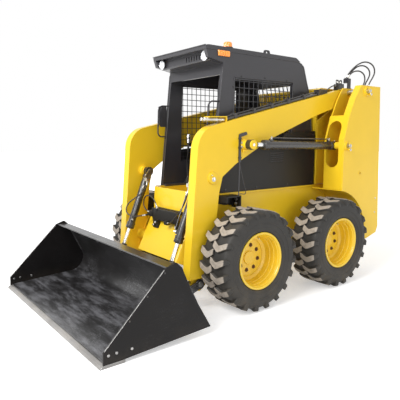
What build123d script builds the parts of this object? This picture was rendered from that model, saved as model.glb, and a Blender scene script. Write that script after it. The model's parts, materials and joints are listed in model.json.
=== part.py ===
import os
from math import cos, radians, sin, sqrt, tan

from build123d import *

# Skid steer loader. Millimetres, +Z up, the front faces -Y, +X is the machine's left side.
# The origin is on the ground, under the middle of the machine's length and width.

# wheels
axle_front_y = -150.0
wheelbase = 1024.0
tyre_radius = 405.0  # over the lugs
tyre_width = 295.0
wheel_x = 729.5  # middle of a tyre
lug_height = 22.0
lug_count = 20  # on each half of the tread
lug_thick = 42.0
carcass_sides = 20
rim_radius = 213.0  # bead seat
rim_flange = 15.0  # height of the rim's lip
rim_dish = 147.0  # depth from the lip to the disc
disc_thick = 12.0
hub_radius = 62.0
axle_radius = 58.0

# lift arms
arm_inner_x = 475.0
arm_thick = 90.0
leg_front_y = -628.0  # front face at the foot of the leg
leg_foot_z = 263.0
leg_lean = 0.0846  # run back for each unit of height
knee_radius = 200.0
pivot_y = 1270.0
pivot_z = 1788.0
pivot_cover = 43.0  # arm's top edge over the pivot
arm_slope = 0.230  # rise of the top edge for each unit of length
arm_tail = 120.0  # arm behind the pivot
hinge_y = -520.0  # bucket hinge under the foot of the leg
hinge_z = 215.0
hinge_lug = 30.0  # thickness of the arm's lug
hinge_lug_radius = 62.0
pin_radius = 22.0
pin_gap = 0.8  # round each pin that turns

# cylinders: pin places at rest
lift_x = 645.0
lift_base_y = 996.0
lift_base_z = 1282.0
lift_eye_y = -70.0
lift_eye_z = 1300.0
lift_bore = 36.0
lift_rod = 20.0
lift_rod_shown = 95.0  # rod showing at rest
tilt_x = 390.0
tilt_base_y = -400.0
tilt_base_z = 1045.0
tilt_eye_y = -688.0
tilt_eye_z = 338.0
tilt_bore = 33.0
tilt_rod = 18.0
tilt_rod_shown = 165.0
eye_radius = 40.0
eye_width = 50.0
side_gap = 6.0  # beside an eye that moves
eye_start = 36.0  # from an eye's pin to where its barrel starts

# chassis
tub_half = 440.0  # outer face of the chain cases
tub_top = 900.0
tub_bottom = 230.0
tub_front_y = -290.0
tub_rear_y = 1480.0
case_width = 90.0
nose_half = 325.0
nose_top = 908.0
nose_round = 60.0

door_thick = 40.0
tow_plate = 20.0
tow_hole = 16.0
tow_y = 1520.0
tow_z = 300.0

# towers
tower_outer_x = 795.0
tower_web_x = 580.0  # inner web of the outer box
tower_plate = 12.0
tower_top_z = 1838.0
arch_radius = 470.0
rear_hose = 13.0
tilt_hose = 11.0
small_bore = 11.0  # low on each tower's outer plate

# cab
cab_half = 389.0
cab_wall = 34.0
cab_foot_z = 900.3
roof_z = 2088.0
roof_thick = 34.0
header_y = -262.0  # face of the header under the roof's overhang
louvre_pitch = 36.0
lamp_x = 312.0
lamp_radius = 39.0
rail_size = 13.0
beacon_x = 330.0
beacon_y = -52.0
eye_plate_x = 270.0
lift_hole = 15.0
wire = 6.0
wire_pitch = 55.0

# bucket
bucket_half = 956.0
side_plate = 12.0
shell_plate = 10.0
edge_y = -1568.0
edge_length = 170.0
edge_thick = 20.0
heel_y = -740.0
heel_z = 60.0
lip_y = -978.0
lip_z = 532.0
attach_plate = 20.0
side_hole = 9.0
side_holes = ((-1510.0, 76.0), (-1456.0, 78.0), (-1352.0, 75.0))  # (y, z) along the foot of each side
cheek = 15.0  # thickness of the hinge and rod cheeks

# doors of the engine bay
door_hinge_x = 431.0
door_hinge_y = 1540.0
hood_hinge_y = 1030.0
hood_hinge_z = 1816.0
knuckle = 9.0

# step on the cross member
step_left = 213.0
step_right = -180.0
tread_z = 730.0
step_front_y = -500.0

seat_gap = 0.3  # between pieces that only rest on each other

axle_rear_y = axle_front_y + wheelbase
bay_half = tub_half - 12
door_y = tub_rear_y + 8
arm_outer_x = arm_inner_x + arm_thick
arm_mid_x = arm_inner_x + arm_thick / 2
eye_half = eye_width / 2
hose_y = pivot_y + 15  # manifold of the rear hoses, and the shelf where they end
hose_z = tower_top_z + 80
shelf_z = hose_z - 112
sides = ((1, "left"), (-1, "right"))
axles = ((axle_front_y, "front"), (axle_rear_y, "rear"))


def across(x, y=0, z=0):
    """Sketch plane across the machine: local x runs back along +Y and local y runs up."""
    return Plane(origin=(x, y, z), x_dir=(0, 1, 0), z_dir=(1, 0, 0))


def slab(corners, x0, x1, mode=Mode.ADD):
    """Plate from x0 to x1 whose outline has (y, z, corner radius) rows."""
    with BuildSketch(across(x0)) as face:
        with BuildLine():
            FilletPolyline([(y, z) for y, z, r in corners], radius=[r for y, z, r in corners], close=True)
        make_face()
    extrude(face.sketch, amount=x1 - x0, mode=mode)


def bar(y, z, radius, x0, x1, mode=Mode.ADD):
    """Round bar or bore across the machine."""
    with BuildSketch(across(x0, y, z)) as face:
        Circle(radius)
    extrude(face.sketch, amount=x1 - x0, mode=mode)


def tube(points, size):
    """Round tube along straight runs joined by tangent arcs."""
    runs = [Vector(*b) - Vector(*a) for a, b in zip(points, points[1:])]
    arcs = [
        0.45 * min(before.length, after.length) / tan(radians(before.get_angle(after)) / 2)
        for before, after in zip(runs, runs[1:])
    ]
    with BuildLine() as way:
        FilletPolyline(*points, radius=arcs)
    with BuildSketch(Plane(origin=points[0], z_dir=runs[0])) as end:
        Circle(size / 2)
    sweep(end.sketch, path=way.wires()[0])
    return min(arcs)


def stub(points, size, length=22):
    """Fitting behind the first point of a hose, in line with it."""
    back = (Vector(*points[0]) - Vector(*points[1])).normalized()
    with BuildSketch(Plane(origin=Vector(*points[0]) + back * seat_gap, z_dir=back)) as face:
        Circle(size / 2 + 2.5)
    extrude(face.sketch, amount=length)


def save(piece, name):
    piece.part.label = name
    export_step(piece.part, f"parts/{name}.step")


os.makedirs("parts", exist_ok=True)

# hoses: (name, diameter, route), from the pin plates to the step, and from the manifold to the left tower's shelf
tilt_hoses = (
    ("tilt_hose_a", tilt_hose,
     ((-322, -455, 948), (-317, -474, 900), (-308, -520, 852), (-328, -582, 812), (-366, -630, 766), (-375, -655, 716),
      (-344, -660, 672), (-292, -633, 650), (-255, -582, 653), (-232, -535, 662))),
    ("tilt_hose_b", tilt_hose,
     ((-238, -484, 684), (-288, -490, 692), (-326, -494, 730), (-322, -498, 784), (-284, -502, 824), (-228, -504, 842),
      (-168, -502, 832), (-122, -498, 796), (-108, -492, 750))),
    ("tilt_hose_c", tilt_hose,
     ((322, -455, 948), (322, -466, 894), (318, -490, 830), (306, -522, 768), (268, -546, 712), (214, -548, 668),
      (150, -532, 640), (98, -512, 632))),
)
loops = (
    ("hose_loop_a",
     ((552, -4, 16), (573, 12, 58), (603, 36, 104), (639, 65, 142), (680, 98, 162), (722, 132, 149), (751, 156, 109),
      (758, 161, 54), (743, 149, 5), (722, 132, -41), (711, 124, -86))),
    ("hose_loop_b",
     ((555, 24, 16), (570, 36, 57), (595, 56, 97), (628, 82, 127), (668, 114, 129), (702, 142, 98), (714, 152, 47),
      (701, 141, 0), (683, 127, -42), (674, 119, -86))),
    ("hose_loop_c",
     ((575, -11, 16), (591, 2, 44), (620, 25, 73), (661, 58, 75), (693, 84, 43), (702, 91, -9), (694, 84, -52),
      (683, 75, -88))),
)
rear_hoses = [
    (name, rear_hose, [(x, hose_y + back, hose_z + up) for x, back, up in route]) for name, route in loops
]

# ---------------------------------------------------------------- wheels
carcass_radius = tyre_radius - lug_height
half_width = tyre_width / 2
# (offset across the tyre, radius) of each ring of flats
carcass_rings = (
    (-half_width, 300.0),
    (-half_width + 6, 345.0),
    (-half_width + 26, carcass_radius),
    (half_width - 26, carcass_radius),
    (half_width - 6, 345.0),
    (half_width, 300.0),
)
dish_rings = ((half_width + 1, 297.0), (half_width - 30, rim_radius + rim_flange + 6))
# (offset from the middle of the tread, run round the tread)
lug_outline = (
    (-8, 16), (52, -16), (half_width - 2, 20),
    (half_width - 2, 20 + lug_thick), (52, lug_thick - 16), (-8, lug_thick + 10),
)

# a lug's flat top reaches the tyre's radius at its corners, and the lowest lugs of both halves stand on the ground
lug_top = sqrt(tyre_radius ** 2 - max(abs(s - lug_thick / 2) for x, s in lug_outline) ** 2)
axle_z = lug_top / cos(radians(90 / lug_count))

with BuildPart() as tyre_form:
    for (x0, r0), (x1, r1) in zip(carcass_rings, carcass_rings[1:]):
        with BuildSketch(Plane.YZ.offset(x0)):
            RegularPolygon(r0, carcass_sides)
        with BuildSketch(Plane.YZ.offset(x1)):
            RegularPolygon(r1, carcass_sides)
        loft(ruled=True)
    for side in (1, -1):
        for x, r in dish_rings:
            with BuildSketch(Plane.YZ.offset(side * x)):
                RegularPolygon(r, carcass_sides)
        loft(ruled=True, mode=Mode.SUBTRACT)
    with BuildSketch(Plane.YZ.offset(-half_width)):
        RegularPolygon(rim_radius + seat_gap, carcass_sides, major_radius=False)
    extrude(amount=tyre_width, mode=Mode.SUBTRACT)
    lugs = []
    for half in (1, -1):
        for i in range(lug_count):
            angle = 360 / lug_count * (i + (0.25 if half > 0 else 0.75))
            out = Vector(0, -cos(radians(angle)), sin(radians(angle)))
            along = Vector(0, sin(radians(angle)), cos(radians(angle)))
            face = Plane(origin=out * (carcass_radius - 40), x_dir=(1, 0, 0), z_dir=out)
            up = face.y_dir.dot(along)
            with BuildSketch(face) as lug_face:
                with BuildLine():
                    Polyline([(half * x, up * (s - lug_thick / 2)) for x, s in lug_outline], close=True)
                make_face()
            lugs.append(extrude(lug_face.sketch, amount=lug_top - carcass_radius + 40, mode=Mode.PRIVATE))
    add(lugs)

lip_x = half_width - 13
disc_x = lip_x - rim_dish
with BuildPart() as rim_form:
    with BuildSketch(Plane.XY):
        with BuildLine():
            Polyline(
                (lip_x, rim_radius + rim_flange),
                (lip_x, rim_radius - 4),
                (lip_x - 20, rim_radius - 12),
                (disc_x + 12, rim_radius - 26),
                (disc_x, rim_radius - 60),
                (disc_x, hub_radius),
                (disc_x + 34, hub_radius),
                (disc_x + 34, 0),
                (disc_x - disc_thick, 0),
                (disc_x - disc_thick, rim_radius - 40),
                (-lip_x, rim_radius - 12),
                (-lip_x, rim_radius),
                (lip_x - 10, rim_radius),
                (lip_x - 10, rim_radius + rim_flange),
                close=True,
            )
        make_face()
    revolve(axis=Axis.X)

for y, end in axles:
    for side, hand in sides:
        for form, kind in ((tyre_form, "tyre"), (rim_form, "rim")):
            with BuildPart() as wheel_piece:
                with Locations((side * wheel_x, y, axle_z)):
                    add(form.part if side > 0 else mirror(form.part, about=Plane.YZ, mode=Mode.PRIVATE))
            save(wheel_piece, f"{kind}_{end}_{hand}")

with BuildPart() as axle_tubes:
    hub_face = wheel_x + disc_x - disc_thick - seat_gap
    for y, end in axles:
        for side, hand in sides:
            bar(y, axle_z, axle_radius, side * tub_half, side * hub_face)
            bar(y, axle_z, axle_radius + 52, side * tub_half, side * (tub_half + 16))
save(axle_tubes, "axle_tubes")

# ---------------------------------------------------------------- lift arms


def arm_top(y):
    return pivot_z + pivot_cover + arm_slope * (y - pivot_y)


def leg_front(z):
    return leg_front_y + leg_lean * (z - leg_foot_z)


knee_z = (arm_top(leg_front(0))) / (1 - arm_slope * leg_lean)
tail_y = pivot_y + arm_tail
arm_outline = (
    (leg_front_y, leg_foot_z, 0),
    (leg_front(knee_z), knee_z, knee_radius),
    (tail_y, arm_top(tail_y), 60),
    (tail_y, pivot_z - 72, 60),
    (pivot_y + 55, pivot_z - 84, 0),
    (824, 1555, 0),
    (240, 1347, 300),
    (-160, 1146, 200),
    (-299, 1049, 30),
    (-334, 919, 0),
    (-411, leg_foot_z, 0),
)
with BuildPart() as arm_form:
    slab(arm_outline, arm_inner_x, arm_outer_x)
    # hinge lug under the foot
    slab(
        (
            (-600, leg_foot_z + 1, 0), (-430, leg_foot_z + 1, 0), (hinge_y + 72, hinge_z - 26, 20),
            (hinge_y + 20, hinge_z - 66, 30), (hinge_y - 44, hinge_z - 52, 40),
        ),
        arm_mid_x - hinge_lug / 2,
        arm_mid_x + hinge_lug / 2,
    )
    # bosses on the outer face, lug for the tilt cylinder on the inner one
    bar(tilt_base_y, tilt_base_z, 36, arm_outer_x, arm_outer_x + 10)
    bar(lift_eye_y, lift_eye_z, 36, arm_outer_x, lift_x - eye_half - side_gap)
    bar(tilt_base_y, tilt_base_z, 48, arm_inner_x, tilt_x + eye_half + side_gap + 14)
    bar(tilt_base_y, tilt_base_z, eye_start - 2, arm_inner_x, tilt_x + eye_half + side_gap)
    # bores of the tower pin and the bucket hinge
    bar(pivot_y, pivot_z, pin_radius + pin_gap, arm_inner_x - 5, arm_outer_x + 5, mode=Mode.SUBTRACT)
    bar(hinge_y, hinge_z, pin_radius + seat_gap, arm_inner_x, arm_outer_x, mode=Mode.SUBTRACT)

for side, hand in sides:
    with BuildPart() as arm:
        add(arm_form.part if side > 0 else mirror(arm_form.part, about=Plane.YZ, mode=Mode.PRIVATE))
        if side > 0:
            # bracket of the couplers
            slab(
                ((-250, 1462, 0), (-250, 1523, 4), (-425, 1518, 4), (-425, 1510.3, 0), (-258, 1515, 0), (-258, 1462, 0)),
                arm_inner_x + 10,
                arm_outer_x - 5,
            )
    save(arm, f"arm_{hand}")

# pins that ride with the arms: bucket hinge, and the tilt cylinder's upper pin
with BuildPart() as arm_pins:
    for side, hand in sides:
        bar(hinge_y, hinge_z, pin_radius, side * (arm_inner_x - 8), side * (arm_outer_x + 8))
        bar(tilt_base_y, tilt_base_z, pin_radius, side * (tilt_x - eye_half - 16),
            side * (tilt_x + eye_half + side_gap - seat_gap))
        # plate on the pin's inner end, with the fitting of a hose on its foot
        slab(
            ((tilt_base_y + 24, tilt_base_z + 10, 10), (tilt_base_y + 10, tilt_base_z + 28, 16),
             (tilt_base_y - 20, tilt_base_z + 24, 16), (tilt_base_y - 78, tilt_base_z - 60, 8),
             (tilt_base_y - 70, tilt_base_z - 84, 8), (tilt_base_y - 38, tilt_base_z - 84, 8)),
            side * (tilt_x - eye_half - 28),
            side * (tilt_x - eye_half - 15),
        )
        with Locations((side * (tilt_x - eye_half - 40), tilt_base_y - 53, tilt_base_z - 72)):
            Box(28, 30, 30)
    for name, size, route in (tilt_hoses[0], tilt_hoses[2]):
        stub(route, size)
save(arm_pins, "arm_pins")

# cross member between the legs: a bent plate that leans back, with the torque tube behind it
cross_top_y, cross_top_z = -428.0, 655.0
cross_foot_y, cross_foot_z = -580.0, 345.0
cross_plate = 12.0
with BuildPart() as arm_cross_member:
    lean = Vector(0, cross_top_y - cross_foot_y, cross_top_z - cross_foot_z)
    foot = Plane(origin=(0, cross_foot_y, cross_foot_z), x_dir=(1, 0, 0), z_dir=lean)
    back = 1 if foot.y_dir.Y > 0 else -1
    # (x, depth behind the middle of the plate)
    bends = ((arm_inner_x - seat_gap, 112), (362, 100), (302, 0))
    way = [(x, back * y) for x, y in bends] + [(-x, back * y) for x, y in reversed(bends)]
    with BuildSketch(foot):
        with BuildLine():
            FilletPolyline(way, radius=34)
            offset(amount=cross_plate, side=Side.RIGHT if back > 0 else Side.LEFT)
        make_face()
    extrude(amount=lean.length)
    bar(-430, 440, 50, -arm_inner_x + seat_gap, arm_inner_x - seat_gap)
save(arm_cross_member, "arm_cross_member")


def cross_face(z):
    """Front face of the cross member's plate."""
    return cross_foot_y + (z - cross_foot_z) * (cross_top_y - cross_foot_y) / (cross_top_z - cross_foot_z)


# step on two ears, with the block of the tilt hoses on its right end
with BuildPart() as front_step:
    slab(
        (
            (step_front_y, tread_z, 0), (cross_top_y - 3, tread_z, 0), (cross_top_y - 3, tread_z - 15, 0),
            (step_front_y + 11, tread_z - 15, 0), (step_front_y + 19, tread_z - 100, 0),
            (step_front_y + 9, tread_z - 100, 0),
        ),
        step_right,
        step_left,
    )
    for x0, x1 in ((step_right, step_right + 78), (step_left - 44, step_left)):
        slab(
            (
                (step_front_y + 1, tread_z - 10, 0), (step_front_y + 11, tread_z - 10, 0),
                (step_front_y + 26, tread_z - 115, 0), (cross_face(600) - seat_gap, 600, 0),
                (cross_face(556) - seat_gap, 556, 0), (cross_face(556) - 12, 556, 0), (step_front_y + 13, 600, 0),
            ),
            x0,
            x1,
        )
        for x, z in ((x0 + 22, 580), (x1 - 22, 606)):
            with BuildSketch(Plane(origin=(x, step_front_y + 20, z), x_dir=(1, 0, 0), z_dir=(0, -1, 0))) as bolt_face:
                RegularPolygon(10, 6)
            extrude(bolt_face.sketch, amount=18)
    for i in range(8):
        with Locations((step_right + 32 + i * 46, (step_front_y + cross_top_y) / 2, tread_z)):
            Box(26, 38, 40, mode=Mode.SUBTRACT)
    slab(((-500, 650, 4), (-500, 706, 4), (-446, 706, 4), (-446, 650, 4)), step_right - 44, step_right + 1)
    with Locations((-104, -488, tread_z - 5)):
        Box(36, 36, 20)
    slab(((-520, 612, 4), (-520, 646, 4), (-484, 646, 0), (-484, 612, 0)), 48, 88)
    for name, size, route in tilt_hoses:
        stub(route[::-1], size, 40)
    stub(tilt_hoses[1][2], tilt_hose, 40)
save(front_step, "front_step")

for name, size, route in tilt_hoses + tuple(rear_hoses):
    with BuildPart() as hose:
        least = tube(route, size)
    print(f"{name}: {size:.0f} mm, least radius {least:.0f} mm, volume {hose.part.volume:.0f} mm3")
    save(hose, name)

# ---------------------------------------------------------------- lines and couplers on the arms


def over(y, rise):
    """Point (y, z) a given height above an arm's top edge."""
    return (y, arm_top(y) + rise)


with BuildPart() as arm_pipes:
    pipes = ((arm_inner_x + 20, 11.6, 22), (arm_inner_x + 47, 11.6, 22), (arm_inner_x + 33, 34, 12))
    for x, rise, size in pipes:
        ends = [(x, *over(y, rise)) for y in (-245, 900)]
        run = Vector(*ends[1]) - Vector(*ends[0])
        with BuildSketch(Plane(origin=ends[0], z_dir=run)) as pipe_end:
            Circle(size / 2)
        extrude(pipe_end.sketch, amount=run.length)
    # clips along the pipes, and the clamp where they end
    for y in (-150, 60, 270, 480, 690):
        slab([(*over(y, seat_gap), 0), (*over(y, 44), 4), (*over(y + 26, 44), 4), (*over(y + 26, seat_gap), 0)],
             arm_inner_x + 6, arm_inner_x + 62)
    slab([(*over(888, seat_gap), 0), (888, 1802, 10), (1012, 1806, 10), (*over(1012, seat_gap), 0)],
         arm_inner_x + 7, arm_inner_x + 68)
    tube(((arm_inner_x + 33, 1008, 1792), (arm_inner_x + 33, 1050, 1806), (arm_inner_x + 30, 1110, 1840),
          (arm_inner_x + 28, 1160, 1856), (arm_inner_x + 28, 1194, 1858)), 12)
    # cluster over the pivot
    slab([(*over(1190, seat_gap), 0), (1190, 1874, 6), (1306, 1880, 6), (*over(1306, seat_gap), 0)],
         arm_inner_x + 6, arm_inner_x + 42)
    for y in (1220, 1272):
        with Locations((arm_inner_x + 24, y, 1870)):
            Cylinder(14, 42, align=(Align.CENTER, Align.CENTER, Align.MIN))
save(arm_pipes, "arm_pipes")

# prop that locks the raised arms, hung on the left arm's outer face
with BuildPart() as arm_prop:
    prop_x = arm_outer_x + seat_gap
    slab(((-52, 1404, 8), (-132, 1384, 12), (-134, 1160, 10), (-112, 1160, 0), (-112, 1362, 12), (-44, 1380, 0)),
         prop_x, prop_x + 9)
save(arm_prop, "arm_prop")

# couplers of the front lines, on the bracket at the left arm's knee
with BuildPart() as aux_couplers:
    for x in (arm_inner_x + 30, arm_inner_x + 65):
        for y0, y1, radius in ((-468, -440, 12), (-442, -340, 15), (-341, -300, 11), (-302, -277, 14)):
            with BuildSketch(Plane(origin=(x, y0, 1495), x_dir=(1, 0, 0), z_dir=(0, 1, 0))) as coupler_end:
                Circle(radius)
            extrude(coupler_end.sketch, amount=y1 - y0)
save(aux_couplers, "aux_couplers")

# ---------------------------------------------------------------- cylinders
rod_inside = 120.0  # rod inside the barrel at rest
cylinders = (
    # name, x, base y, base z, eye y, eye z, barrel radius, rod radius, rod shown, travel inwards, outward stub
    ("lift", lift_x, lift_base_y, lift_base_z, lift_eye_y, lift_eye_z,
     lift_bore, lift_rod, lift_rod_shown, 5, 10),
    ("tilt", tilt_x, tilt_base_y, tilt_base_z, tilt_eye_y, tilt_eye_z,
     tilt_bore, tilt_rod, tilt_rod_shown, 75, side_gap - seat_gap),
)
for name, x, y0, z0, y1, z1, bore, rod, shown, inwards, stub_out in cylinders:
    run = Vector(0, y1 - y0, z1 - z0)
    gland = run.length - shown - eye_radius  # from the base pin to the end of the barrel
    for side, hand in sides:
        base = Plane(origin=(side * x, y0, z0), x_dir=(1, 0, 0), z_dir=run)
        with BuildPart() as barrel:
            with BuildSketch(base.offset(eye_start)):
                Circle(bore)
            extrude(amount=gland - eye_start)
            with BuildSketch(base.offset(gland - 55)):
                Circle(bore + 4)
            extrude(amount=55)
            bar(y0, z0, eye_radius, side * x - eye_half, side * x + eye_half)
            bar(y0, z0, pin_radius + pin_gap, side * x - eye_half, side * x + eye_half, mode=Mode.SUBTRACT)
            with BuildSketch(base.offset(gland - rod_inside - inwards - 5)):
                Circle(rod + 0.5)
            extrude(amount=rod_inside + inwards + 10, mode=Mode.SUBTRACT)
        save(barrel, f"{name}_barrel_{hand}")
        with BuildPart() as ram:
            with BuildSketch(base.offset(gland - rod_inside)):
                Circle(rod)
            extrude(amount=run.length - gland + rod_inside - 20)
            bar(y1, z1, eye_radius, side * x - eye_half, side * x + eye_half)
            bar(y1, z1, pin_radius, side * (x - eye_half), side * (x - eye_half - side_gap + seat_gap))
            bar(y1, z1, pin_radius, side * (x + eye_half), side * (x + eye_half + stub_out))
        save(ram, f"{name}_rod_{hand}")

# ---------------------------------------------------------------- towers


def arch_point(angle, radius=arch_radius):
    return (axle_rear_y + radius * cos(angle), axle_z + radius * sin(angle))


tower_box_z = tower_top_z - 12  # top of the outer box
tower_front = (
    (950, 880), (950, 1340), (1020, tower_top_z - 278), (1100, tower_top_z - 118), (1185, tower_top_z),
)
rear_top_y = 1493.0
rear_foot_y = 1568.0
with BuildPart() as tower_form:
    # outer plate over the rear wheel
    with BuildSketch(across(tower_outer_x - tower_plate)) as outer_plate:
        with BuildLine():
            Polyline(arch_point(1.42), *tower_front, (rear_top_y, tower_top_z), (rear_foot_y, 471),
                     (1540, 411), (1368, 366), arch_point(-0.03))
            ThreePointArc(arch_point(-0.03), arch_point(0.55), arch_point(1.42))
        make_face()
    extrude(amount=tower_plate)
    # inner web of the outer box
    slab(
        (
            (962, 884, 0), (962, 1338, 0), (1031, tower_box_z - 270, 0), (1111, tower_box_z - 110, 0),
            (1190, tower_box_z, 0), (rear_top_y - 6, tower_box_z, 0), (1534, 884, 0),
        ),
        tower_web_x,
        tower_web_x + tower_plate,
    )
    # front of the box, bent back up to a flange beside the outer plate
    slab(
        (
            (950, 880, 0), (950, 1340, 0), (1020, tower_top_z - 278, 0), (1032, tower_top_z - 282, 0), (962, 1338, 0),
            (962, 880, 0),
        ),
        tower_web_x,
        tower_outer_x,
    )
    slab(
        (
            (1020, tower_top_z - 278, 0), (1100, tower_top_z - 118, 0), (1185, tower_top_z, 0), (1200, tower_top_z, 0),
            (1111, tower_top_z - 122, 0), (1032, tower_top_z - 282, 0),
        ),
        tower_outer_x - 68,
        tower_outer_x,
    )
    with BuildSketch(Plane(origin=(667, 900, 1295), x_dir=(0, 0, 1), z_dir=(0, 1, 0))):
        SlotOverall(430, 138)
    extrude(amount=190, mode=Mode.SUBTRACT)
    # rear plate across the box and the arm's slot, up to the inner plate
    slab(
        (
            (rear_top_y, tower_top_z - 40, 0), (rear_foot_y, 471, 0), (rear_foot_y - 12, 471, 0),
            (rear_top_y - 12, tower_top_z - 40, 0),
        ),
        tub_half + tower_plate + seat_gap,
        tower_outer_x,
    )
    # shelf in the top of the box
    slab(((1330, shelf_z - 10, 0), (1330, shelf_z, 0), (1480, shelf_z, 0), (1480, shelf_z - 10, 0)),
         tower_web_x + 1, tower_outer_x - 1)
    # wheel arch between the inner plate and the outer one
    with BuildSketch(across(tub_half + tower_plate + seat_gap)):
        with BuildLine():
            ThreePointArc(arch_point(-0.03), arch_point(0.55), arch_point(1.42))
            Line(arch_point(1.42), arch_point(1.42, arch_radius + 10))
            ThreePointArc(
                arch_point(1.42, arch_radius + 10), arch_point(0.55, arch_radius + 10),
                arch_point(-0.03, arch_radius + 10),
            )
            Line(arch_point(-0.03, arch_radius + 10), arch_point(-0.03))
        make_face()
    extrude(amount=tower_outer_x - tub_half - tower_plate - seat_gap)
    # bosses of the two pins
    bar(pivot_y, pivot_z, 40, tower_outer_x, tower_outer_x + 12)
    bar(pivot_y, pivot_z, 40, tower_web_x - 9, tower_web_x)
    bar(lift_base_y, lift_base_z, 36, tower_outer_x, tower_outer_x + 12)
    bar(lift_base_y, lift_base_z, 34, lift_x + eye_half + side_gap, tower_outer_x - 2)
    bar(lift_base_y, lift_base_z, 34, tower_web_x + 2, lift_x - eye_half - side_gap)
    for y, z in ((pivot_y, pivot_z), (lift_base_y, lift_base_z)):
        bar(y, z, pin_radius + seat_gap, tub_half, tower_outer_x + 20, mode=Mode.SUBTRACT)
    # small bore with its ring, low on the outer plate
    bar(1219, 1023, 2 * small_bore, tower_outer_x, tower_outer_x + 3)
    bar(1219, 1023, small_bore, tower_outer_x - 20, tower_outer_x + 4, mode=Mode.SUBTRACT)

# inner plate, with the pivot's ear
with BuildPart() as tower_inner_form:
    slab(
        (
            (995, 905, 0), (995, 1518, 0), (1213, 1634, 0), (1225, pivot_z + 2, 46), (1262, tower_top_z - 2, 40),
            (1330, tower_top_z - 2, 40), (1360, 1686, 30), (1484, 1722, 0), (rear_foot_y - 6, 471, 0), (1400, 471, 0),
            (1350, 905, 0),
        ),
        tub_half + seat_gap,
        tub_half + tower_plate,
    )
    bar(pivot_y, pivot_z, 40, tub_half + tower_plate, arm_inner_x - side_gap)
    bar(pivot_y, pivot_z, pin_radius + seat_gap, tub_half, arm_inner_x, mode=Mode.SUBTRACT)

for side, hand in sides:
    with BuildPart() as tower:
        add(tower_form.part if side > 0 else mirror(tower_form.part, about=Plane.YZ, mode=Mode.PRIVATE))
    save(tower, f"tower_{hand}")
    with BuildPart() as tower_inner:
        add(tower_inner_form.part if side > 0 else mirror(tower_inner_form.part, about=Plane.YZ, mode=Mode.PRIVATE))
    save(tower_inner, f"tower_inner_{hand}")

# ear with the manifold of the rear hoses, on the left tower's web, and the fittings on its shelf
with BuildPart() as hose_manifold:
    slab(((hose_y - 22, tower_box_z + seat_gap, 0), (hose_y - 22, hose_z + 6, 8), (hose_y + 22, hose_z + 6, 8),
          (hose_y + 22, tower_box_z + seat_gap, 0)), tower_web_x, tower_web_x + tower_plate)
    slab(((hose_y - 20, hose_z - 36, 4), (hose_y - 20, hose_z + 8, 4), (hose_y + 22, hose_z + 8, 4),
          (hose_y + 22, hose_z - 36, 4)), tower_web_x - 44, tower_web_x + 1)
    for name, size, route in rear_hoses:
        stub(route, size)
        stub(route[::-1], size, 40)
    slab(((1300, shelf_z - 60, 0), (1300, shelf_z + seat_gap, 0), (1500, shelf_z + seat_gap, 0), (1500, shelf_z - 60, 0)),
         tower_web_x, tower_outer_x, mode=Mode.SUBTRACT)
save(hose_manifold, "hose_manifold")

with BuildPart() as tower_pins:
    for side, hand in sides:
        bar(pivot_y, pivot_z, pin_radius, side * (tub_half + 1), side * (tower_outer_x + 30))
        bar(lift_base_y, lift_base_z, pin_radius, side * (tower_web_x - 6), side * (tower_outer_x + 30))
save(tower_pins, "tower_pins")

# ---------------------------------------------------------------- chassis
with BuildPart() as chassis_frame:
    slab(
        (
            (tub_front_y, tub_top, 0), (tub_rear_y, tub_top, 0), (tub_rear_y, 330, 0), (tub_rear_y - 110, tub_bottom, 0),
            (-110, tub_bottom, 60), (-200, 330, 60), (tub_front_y, 520, 0),
        ),
        -tub_half,
        tub_half,
    )
    slab(
        ((-400, nose_top, 0), (-414, 672, 0), (-330, 610, 0), (-280, 610, 0), (-280, nose_top, 0)),
        -nose_half,
        nose_half,
    )
    front_edges = chassis_frame.edges().filter_by(
        lambda e: abs(abs(e.center().X) - nose_half) < 1 and e.center().Y < -400 and e.length > 150
    )
    fillet(front_edges, nose_round)
    # foot well
    slab(
        ((-376, 940, 0), (-388, 700, 0), (-300, 640, 0), (-200, 420, 60), (60, 420, 0), (60, 940, 0)),
        -nose_half + 30,
        nose_half - 30,
        mode=Mode.SUBTRACT,
    )
    # engine bay
    slab(
        ((520, 950, 0), (520, 300, 0), (1500, 300, 0), (1500, 950, 0)),
        -tub_half + case_width,
        tub_half - case_width,
        mode=Mode.SUBTRACT,
    )
    # flanges along the top of the chain cases
    for side, hand in sides:
        slab(((-230, 886, 0), (-230, 900, 0), (940, 900, 0), (940, 886, 0)), side * (tub_half - 1), side * (tub_half + 12))
    # hinge leaves of the rear door, and its latch plates
    for x in (bay_half - 70, -bay_half + 20):
        for z in (440, 800):
            slab(((tub_rear_y, z, 0), (door_y - seat_gap, z, 0), (door_y - seat_gap, z + 60, 0), (tub_rear_y, z + 60, 0)),
                 x, x + 50)
    for z in (440, 800):
        slab(((tub_rear_y - 10, z, 0), (door_hinge_y, z, 0), (door_hinge_y, z + 60, 0), (tub_rear_y - 10, z + 60, 0)),
             bay_half + 2, bay_half + 9)
        with Locations((door_hinge_x, door_hinge_y, z)):
            Cylinder(knuckle - 2, 60, align=(Align.CENTER, Align.CENTER, Align.MIN))
    # towing eye under the rear door
    slab(((tub_rear_y - 110, 262, 0), (1552, 262, 30), (1552, 338, 30), (tub_rear_y - 110, 338, 0)),
         -tow_plate / 2, tow_plate / 2)
    bar(tow_y, tow_z, tow_hole, -tow_plate / 2, tow_plate / 2, mode=Mode.SUBTRACT)
save(chassis_frame, "chassis_frame")

# bracket of the arm prop, on the left side of the tub in front of the axle
with BuildPart() as prop_bracket:
    slab(((-246, 818, 8), (-246, 884, 8), (-128, 884, 8), (-128, 800, 0), (-180, 800, 0)),
         tub_half + seat_gap, tub_half + 10)
    slab(((-246, 830, 4), (-246, 884, 8), (-128, 884, 8), (-128, 872, 0), (-232, 872, 0), (-232, 830, 0)),
         tub_half + 9, tub_half + 120)
save(prop_bracket, "prop_bracket")

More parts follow.
